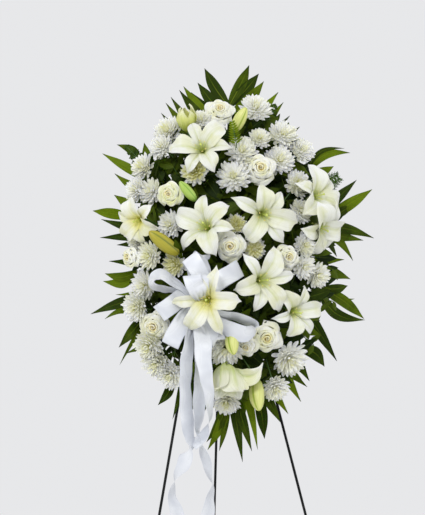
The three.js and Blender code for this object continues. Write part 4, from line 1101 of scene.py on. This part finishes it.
def addFrond(heap, frond, look, rng):
    root, (side, along, _), place = layFrond(frond, frond["rib"], look)
    foot = place(0, 0, 0)
    radii = np.linspace(look["rib"], look["rib"] * look["ribTaper"], 16)
    addRib(heap, place(np.zeros(16), np.linspace(0, frond["rib"] + 4, 16), 0.0), radii, 7, root)
    rows = look["rows"]
    t = np.linspace(0, 1, rows)[:, None]
    u = np.linspace(-1, 1, look["columns"])[None]
    seen = np.array([[side @ acrossAxis, along @ acrossAxis], [side[2], along[2]]])

    # The place in the frond's plane that the camera sees there.
    def inPlane(across, height):
        x, y = np.linalg.solve(seen, [across - foot @ acrossAxis, height - foot[2]])
        for _ in range(4):
            off = np.array([across, height]) - seenAt(place(x, y, 0.0))
            x, y = np.array([x, y]) + np.linalg.solve(seen, off)
        return x, y

    for across, height, *bent in frond["tips"]:
        x1, y1 = inPlane(across, height)
        y0 = y1 - abs(x1) / math.tan(math.radians(frond.get("angle", look["angle"])))
        if bent:
            xm, ym = inPlane(*bent[:2])
            y0 = min(y0, ym - xm * (y1 - ym) / (x1 - xm))
        y0 = float(np.clip(y0, look["lowest"], frond["rib"]))
        reach, turn = math.hypot(x1, y1 - y0), math.atan2(x1, y1 - y0)
        wide = bent[2] if len(bent) > 2 else frond.get("half", look["half"])
        half = min(wide, 0.17 * reach + 2) * rng.uniform(0.92, 1.08)
        width = half * smooth(palmWidths, rows)[:, None]
        bow = math.copysign(rng.uniform(*frond.get("bow", look["bow"])), x1)
        if bent:
            share = (xm * math.sin(turn) + (ym - y0) * math.cos(turn)) / reach
            aside = xm * math.cos(turn) - (ym - y0) * math.sin(turn)
            limit = look["bowLimit"] * reach
            bow = float(np.clip(aside / math.sin(math.pi * np.clip(share, 0.2, 0.8)), -limit, limit))
        bow = bow * np.sin(t * math.pi)
        x = t * reach * math.sin(turn) + (u * width + bow) * math.cos(turn)
        y = y0 + t * reach * math.cos(turn) - (u * width + bow) * math.sin(turn)
        fold = look["fold"] * (np.abs(u) - 0.5) * np.sin(np.clip(t * 1.2, 0, 1) * math.pi) ** 0.5
        tilt = rng.uniform(-0.2, 0.2) * u * width
        sag = 5 * np.sin(t * math.pi) - rng.uniform(0, 5) * t ** 2.2 + 1.2 * np.sin(t * 5 + rng.uniform(0, 6)) * t
        grid = place(x, y, fold + tilt + sag + rng.uniform(-1, 3))
        addBlade(heap, grid, look["thick"], rng.uniform(0.1, 0.75), 0)


def addFern(heap, fern, look, rng):
    pairs, step = fern["pairs"], fern["step"]
    rib = (pairs - 1) * step
    root, (_, _, face), place = layFrond(fern, rib, look)
    radii = np.linspace(look["rib"], 0.5, 14)
    addRib(heap, place(np.zeros(14), np.linspace(0, rib + 12, 14), 0.0), radii, 6, root)
    for i in range(pairs):
        share = i / (pairs - 1)
        angle = math.radians(fern["spread"][1] + (fern["spread"][0] - fern["spread"][1]) * share)
        length = fern["leaf"] * (1 - fern["taper"] * share)
        count = max(3, int(round(look["pinnules"] * (1 - 0.5 * share))))
        for hand in (-1, 1):
            s = np.linspace(0, 1, 7)
            spine = place(hand * s * length * math.sin(angle), i * step + s * length * math.cos(angle), 0.3)
            addTube(heap, spine, np.linspace(0.6, 0.3, 7), 5, 0.6, 1)
            for k in range(count + 1):
                s = (k + 0.6) / (count + 0.8)
                x, y = hand * s * length * math.sin(angle), i * step + s * length * math.cos(angle)
                base = place(x, y, 0.4)
                ahead = place(x + hand * math.sin(angle), y + math.cos(angle), 0.4) - base
                for edge in ((-1, 1) if k < count else (0,)):
                    aside = np.cross(unit(ahead), face) * edge
                    size = fern.get("pinnule", look["pinnule"]) * (1 if edge else 0.85) * (1 - 0.4 * s)
                    size = size * (1 - 0.3 * share) * rng.uniform(0.9, 1.1)
                    addLeaf(heap, base, aside + ahead * (0.75 if edge else 1), face, size, 0.38 * size,
                            rng.uniform(0.2, 0.8), 0, 0.1, 0.15, 0.0, 5, 3, look["thick"])


for number, (name, frond) in enumerate(fronds.items()):
    heap = newHeap()
    addFrond(heap, frond, palmLook, dice("frond", number))
    makePiece(name + "_leaves", heap, ["palm", "stem"], [name])
for number, (name, fern) in enumerate(ferns.items()):
    heap = newHeap()
    addFern(heap, fern, fernLook, dice("fern", number))
    makePiece(name + "_leaves", heap, ["fern", "stem"], [name])

# A fern's tip stands up in front of the top bud, on a stem of its own.
sprigLook = {"foot": (48, 1552, 0), "tip": (36, 1611, 46), "pairs": 9, "leaf": 23, "half": 2.9,
             "taper": 0.65, "lean": 0.55, "stem": 1.6}
rng = dice("sprig")
heap = newHeap()
foot, tip = headPlace(*sprigLook["foot"]), headPlace(*sprigLook["tip"])
along = unit(tip - foot)
side = unit(np.cross(along, viewerAxis))
addStem(heap, rootOf(foot), foot, rng, 0, sprigLook["stem"], 1)
addTube(heap, foot + np.outer(np.linspace(0, 1, 8), tip - foot), np.linspace(1.2, 0.4, 8), 6, 0.6, 1)
for pair in range(sprigLook["pairs"]):
    share = (pair + 0.4) / sprigLook["pairs"]
    for hand in (-1, 1):
        addLeaf(heap, foot + (tip - foot) * share, side * hand + along * sprigLook["lean"], viewerAxis,
                sprigLook["leaf"] * (1 - sprigLook["taper"] * share), sprigLook["half"], rng.uniform(0.5, 0.95),
                0, 0.12, 0.3, 0.0, 7, 3)
makePiece("fern_sprig", heap, ["palm", "stem"], [])
print("fronds and ferns made")

# The bow: ten loops and three tails of satin ribbon, gathered in pleats where they meet.

ribbonLook = {"width": 46.0, "thick": 0.45, "knot": (-66, 1136, 216), "root": 34, "columns": 15, "rows": 6,
              "pleats": 2.5, "gathered": 0.97, "wave": (2.2, 9.5)}
# Each row: across, height and how far out the middle of the band lies, as the camera sees it, then the part of
# its width that is seen across and upwards, front edge to back edge, and the share of the width that isn't
# gathered. Rows run from the knot round to the knot, or down a tail.
loops = {
    "bow_loop_left": [
        (-70, 1144, 226, 2, 14, 0.35), (-96, 1182, 238, 5, 24, 0.8), (-125, 1200, 246, 3, 27, 1),
        (-148, 1215, 246, 0, 28, 1), (-166, 1208, 243, -11, 22, 1), (-173, 1193, 240, -16, -3, 1),
        (-161, 1180, 238, -9, -17, 1), (-138, 1174, 234, 0, -15, 1), (-110, 1170, 226, 0, -13, 0.8),
        (-78, 1146, 218, 0, -12, 0.35)],
    "bow_loop_behind": [
        (-66, 1138, 226, 22, -24, 0.5), (-88, 1155, 242, 28, -34, 1), (-114, 1139, 252, 28, -35, 1),
        (-140, 1120, 250, 29, -35, 1), (-153, 1111, 243, 29, -35, 1), (-149, 1114, 233, 29, -35, 1),
        (-122, 1132, 226, 29, -33, 1), (-88, 1150, 222, 28, -28, 0.8), (-72, 1138, 216, 20, -20, 0.35)],
    "bow_loop_low": [
        (-72, 1132, 226, 30, -8, 0.4), (-82, 1113, 238, 38, -14, 0.75), (-98, 1082, 248, 40, -20, 1),
        (-116, 1050, 247, 41, -21, 1), (-124, 1031, 240, 41, -21, 1), (-119, 1040, 230, 41, -21, 1),
        (-104, 1074, 224, 41, -21, 1), (-84, 1112, 220, 38, -18, 0.7), (-70, 1132, 214, 26, -10, 0.35)],
    "bow_loop_top": [
        (-54, 1144, 236, 34, 0, 0.5), (-44, 1176, 256, 42, 8, 0.95), (-44, 1206, 268, 40, 18, 1),
        (-58, 1236, 274, 37, 26, 1), (-73, 1258, 268, 36, 27, 1), (-72, 1254, 258, 36, 27, 1),
        (-60, 1232, 248, 38, 24, 1), (-54, 1192, 236, 42, 10, 0.95), (-60, 1144, 222, 34, 0, 0.45)],
    "bow_loop_top_right": [
        (-56, 1144, 228, 34, 2, 0.5), (-40, 1184, 240, 38, -6, 1), (-36, 1222, 250, 32, -12, 1),
        (-38, 1248, 250, 28, -15, 1), (-42, 1264, 242, 28, -16, 1), (-44, 1254, 232, 30, -14, 1),
        (-46, 1218, 226, 34, -10, 1), (-54, 1178, 220, 36, -6, 0.9), (-60, 1144, 212, 32, 0, 0.4)],
    "bow_loop_front": [
        (-46, 1150, 286, 30, 6, 0.5), (-52, 1168, 322, 38, 6, 0.9), (-62, 1190, 336, 44, 8, 1),
        (-67, 1204, 336, 44, 9, 1), (-68, 1212, 327, 44, 9, 1), (-67, 1206, 314, 44, 9, 1),
        (-62, 1184, 292, 43, 8, 0.95), (-60, 1158, 256, 36, 2, 0.6), (-62, 1144, 232, 26, 0, 0.35)],
    "bow_loop_front_right": [
        (-38, 1152, 284, 26, -4, 0.5), (-42, 1170, 318, 36, -4, 0.9), (-46, 1190, 331, 43, -5, 1),
        (-47, 1205, 331, 44, -5, 1), (-48, 1213, 322, 44, -5, 1), (-49, 1206, 308, 44, -5, 1),
        (-52, 1184, 284, 44, -2, 0.95), (-58, 1158, 250, 36, 2, 0.6), (-60, 1144, 228, 26, 0, 0.35)],
    "bow_loop_right": [
        (-58, 1140, 228, -12, 36, 0.4), (-28, 1168, 246, -18, 40, 0.9), (2, 1197, 258, -19, 41, 1),
        (36, 1217, 262, -19, 41, 1), (55, 1229, 254, -19, 41, 1), (51, 1226, 244, -19, 41, 1),
        (20, 1206, 234, -19, 41, 1), (-24, 1172, 226, -18, 38, 0.75), (-60, 1140, 216, -12, 34, 0.35)],
    "bow_loop_right_low": [
        (-56, 1134, 228, -4, -20, 0.4), (-16, 1118, 258, -4, -22, 0.9), (16, 1108, 272, -5, -21, 1),
        (50, 1102, 276, -6, -21, 1), (78, 1092, 272, -5, -24, 1), (95, 1075, 266, 0, -30, 1),
        (73, 1058, 266, -4, -42, 1), (38, 1068, 264, -6, -42, 1), (10, 1080, 252, -4, -40, 1),
        (-30, 1112, 232, -4, -32, 0.8), (-58, 1132, 216, -4, -24, 0.35)],
    "bow_loop_under": [
        (-62, 1128, 228, 16, 12, 0.35), (-46, 1104, 240, 22, 16, 0.7), (-26, 1076, 246, 26, 17, 1),
        (-8, 1049, 244, 26, 17, 1), (-3, 1042, 238, 26, 17, 1), (-8, 1052, 230, 26, 17, 1),
        (-30, 1086, 224, 24, 16, 0.8), (-58, 1126, 214, 16, 12, 0.35)],
}
tails = {
    "bow_tail_left": [
        (-68, 1130, 224, 14, 0, 0.4), (-72, 1090, 240, 18, 0, 0.8), (-74, 1043, 250, 22, 0, 1),
        (-82, 986, 256, 31, 0, 1), (-85, 927, 258, 28, 0, 1), (-83, 874, 258, 31, 0, 1),
        (-79, 825, 258, 31, 0, 1), (-74, 783, 260, 22, 0, 1), (-73, 765, 262, 13, 2, 1),
        (-82, 742, 266, -24, 18, 1), (-92, 715, 266, -28, 14, 1), (-108, 689, 262, -10, 8, 1),
        (-117, 663, 258, 10, -2, 1), (-118, 632, 256, 21, -3, 1), (-107, 591, 254, 34, 4, 1),
        (-96, 545, 252, 38, 4, 1)],
    "bow_tail_middle": [
        (-64, 1126, 222, 16, 0, 0.4), (-58, 1090, 232, 20, 0, 0.8), (-54, 1030, 240, 12, 0, 1),
        (-52, 986, 244, 14, 0, 1), (-48, 927, 246, 26, 0, 1), (-48, 898, 246, 33, 0, 1),
        (-49, 869, 246, 31, 0, 1), (-51, 840, 246, 23, 0, 1), (-53, 809, 246, 12, 0, 1),
        (-48, 783, 246, 4, 2, 1), (-38, 752, 244, -20, -5, 1), (-28, 718, 242, -22, -8, 1),
        (-19, 684, 240, -10, -5, 1), (-14, 658, 240, 8, 0, 1), (-21, 622, 242, 24, -3, 1),
        (-27, 584, 244, 34, 0, 1), (-34, 545, 246, 38, 0, 1)],
    "bow_tail_short": [
        (-60, 1124, 228, 26, 0, 0.45), (-46, 1078, 250, 38, 2, 0.9), (-39, 1040, 266, 44, 2, 1),
        (-39, 1008, 272, 43, 2, 1), (-35, 975, 274, 38, 0, 1), (-27, 927, 274, 30, 0, 1),
        (-23, 895, 274, 24, 0, 1), (-21, 864, 272, 16, 0, 1), (-22, 835, 268, 6, 4, 1),
        (-30, 808, 262, -8, 18, 1), (-48, 784, 256, -12, 22, 1), (-66, 768, 250, -12, 24, 1)],
}


# How high pleats stand for a band drawn in to a share of its width, so that the cloth keeps its own.
def pleatHeight(share, width, pleats):
    x = np.linspace(-1, 1, 60)
    low, high = 0.0, width
    for _ in range(18):
        mid = (low + high) / 2
        z = mid * np.cos(x * math.pi * pleats)
        run = np.hypot(np.diff(x * share * width / 2), np.diff(z)).sum()
        low, high = (mid, high) if run < width else (low, mid)
    return low


# Lays a band of the ribbon along its rows, and tells how long it came out.
def addBand(heap, table, rng):
    look, width = ribbonLook, ribbonLook["width"]
    rows = smooth(table, look["rows"] * len(table))
    centres = np.array([seenSpot(*row[:3]) for row in rows])
    flat = np.minimum(1, np.hypot(rows[:, 3], rows[:, 4]) / width)
    seen = rows[:, 3:4] * acrossAxis + rows[:, 4:5] * upAxis
    sides = seen - (width * np.sqrt(1 - flat ** 2))[:, None] * viewerAxis
    along = np.gradient(centres, axis=0)
    along /= np.linalg.norm(along, axis=1, keepdims=True)
    sides = sides - along * (sides * along).sum(1, keepdims=True)
    sides /= np.linalg.norm(sides, axis=1, keepdims=True)
    u = np.linspace(-1, 1, look["columns"])
    shares = np.clip(rows[:, 5], 0.2, 1)
    height = np.array([pleatHeight(share, width, look["pleats"]) if share < look["gathered"] else 0.0
                       for share in shares])
    steps = np.linalg.norm(np.diff(centres, axis=0), axis=1)
    run = np.concatenate([[0], np.cumsum(steps)])
    deep, long = look["wave"]
    bow = deep * np.sin(run / long + rng.uniform(0, 6)) * np.minimum(1, run / 30)
    lift = height[:, None] * np.cos(u * math.pi * look["pleats"]) + bow[:, None] * (1 - 0.5 * u ** 2)
    grid = layGrid(centres, shares[:, None] * u * width / 2, sides, lift, np.cross(along, sides))
    addBlade(heap, grid, look["thick"], 0.5, 0)
    return steps.sum()


knot = spot(*ribbonLook["knot"])
for number, (name, table) in enumerate([*loops.items(), *tails.items()]):
    heap = newHeap()
    length = addBand(heap, table, dice("ribbon", number))
    piece = makePiece(name, heap, ["satin"], ["ribbon_bow"])
    print(name, "ribbon length", round(length))
green = newHeap()
addStem(green, rootOf(knot, ribbonLook["root"]), knot, dice("pick"), 3)
makeStem("bow_pick", green, ["ribbon_bow"])
print("bow made")

# Easel, tray and foam keep the frame's shapes and take their finishes.

holders = {
    "wire": ["front_leg_left", "front_leg_right", "rear_leg", "pivot_pin", "upper_rail", "lower_rail"],
    "tray": ["foam_tray"], "foam": ["foam_block"],
}
for finish, names in holders.items():
    for name in names:
        node = frame["nodes"][name]
        node.data.materials.clear()
        node.data.materials.append(finishes[finish])
print("easel and holder finished")

# Floor, light and camera

studio = {
    "floorRadius": 3.6, "floorDrop": 0.0004, "world": (0.80, 0.805, 0.82), "worldStrength": 1.0,
    "aim": (0, 0, 1.25), "sensor": 24,
    "lamps": {"key": {"at": (-1.9, -3.4, 3.0), "size": 1.2, "power": 66},
              "fill": {"at": (3.0, -2.2, 1.9), "size": 2.0, "power": 14},
              "back": {"at": (0.6, 2.8, 2.8), "size": 1.8, "power": 20}},
}
bpy.ops.mesh.primitive_circle_add(vertices=96, radius=studio["floorRadius"], fill_type="NGON",
                                  location=(0, 0, -studio["floorDrop"]))
floor = bpy.context.object
floor.name = "floor"
finish, tree, shader = startFinish("paleFloor")
pale = ramp(tree, noise(tree, 1.4, 4.0), [(0.3, (0.72, 0.72, 0.71)), (0.7, (0.76, 0.76, 0.755))])
feed(tree, shader.inputs["Base Color"], pale)
feed(tree, shader.inputs["Roughness"], 0.6)
floor.data.materials.append(finish)

world = bpy.data.worlds.new("studio")
world.use_nodes = True
background = world.node_tree.nodes["Background"]
background.inputs[0].default_value = (*studio["world"], 1)
background.inputs[1].default_value = studio["worldStrength"]
bpy.context.scene.world = world
for name, look in studio["lamps"].items():
    lamp = bpy.data.lights.new(name, "AREA")
    lamp.shape = "DISK"
    lamp.size = look["size"]
    lamp.energy = look["power"]
    light = bpy.data.objects.new(name, lamp)
    light.location = look["at"]
    light.rotation_euler = (Vector(studio["aim"]) - light.location).to_track_quat("-Z", "Y").to_euler()
    bpy.context.scene.collection.objects.link(light)
bpy.context.scene.view_settings.view_transform = "Standard"

shot = bpy.data.cameras.new("camera")
shot.sensor_fit = "VERTICAL"
shot.sensor_height = studio["sensor"]
shot.lens = studio["sensor"] * view["distance"] / view["pictureHeight"]
camera = bpy.data.objects.new("camera", shot)
across, ahead, height = view["middle"]
target = (acrossAxis * across + viewerAxis * ahead + upAxis * height + setting["shift"]) / 1000
camera.location = Vector(target + viewerAxis * view["distance"])
camera.rotation_euler = Vector(-viewerAxis).to_track_quat("-Z", "Y").to_euler()
bpy.context.scene.collection.objects.link(camera)
bpy.context.scene.camera = camera
print("studio set")

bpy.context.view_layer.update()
counts = sorted(((sum(len(face.vertices) - 2 for face in piece.data.polygons), piece.name)
                 for piece in bpy.data.objects if piece.type == "MESH"), reverse=True)
print("largest pieces", counts[:3], "triangles in all", sum(count for count, _ in counts))
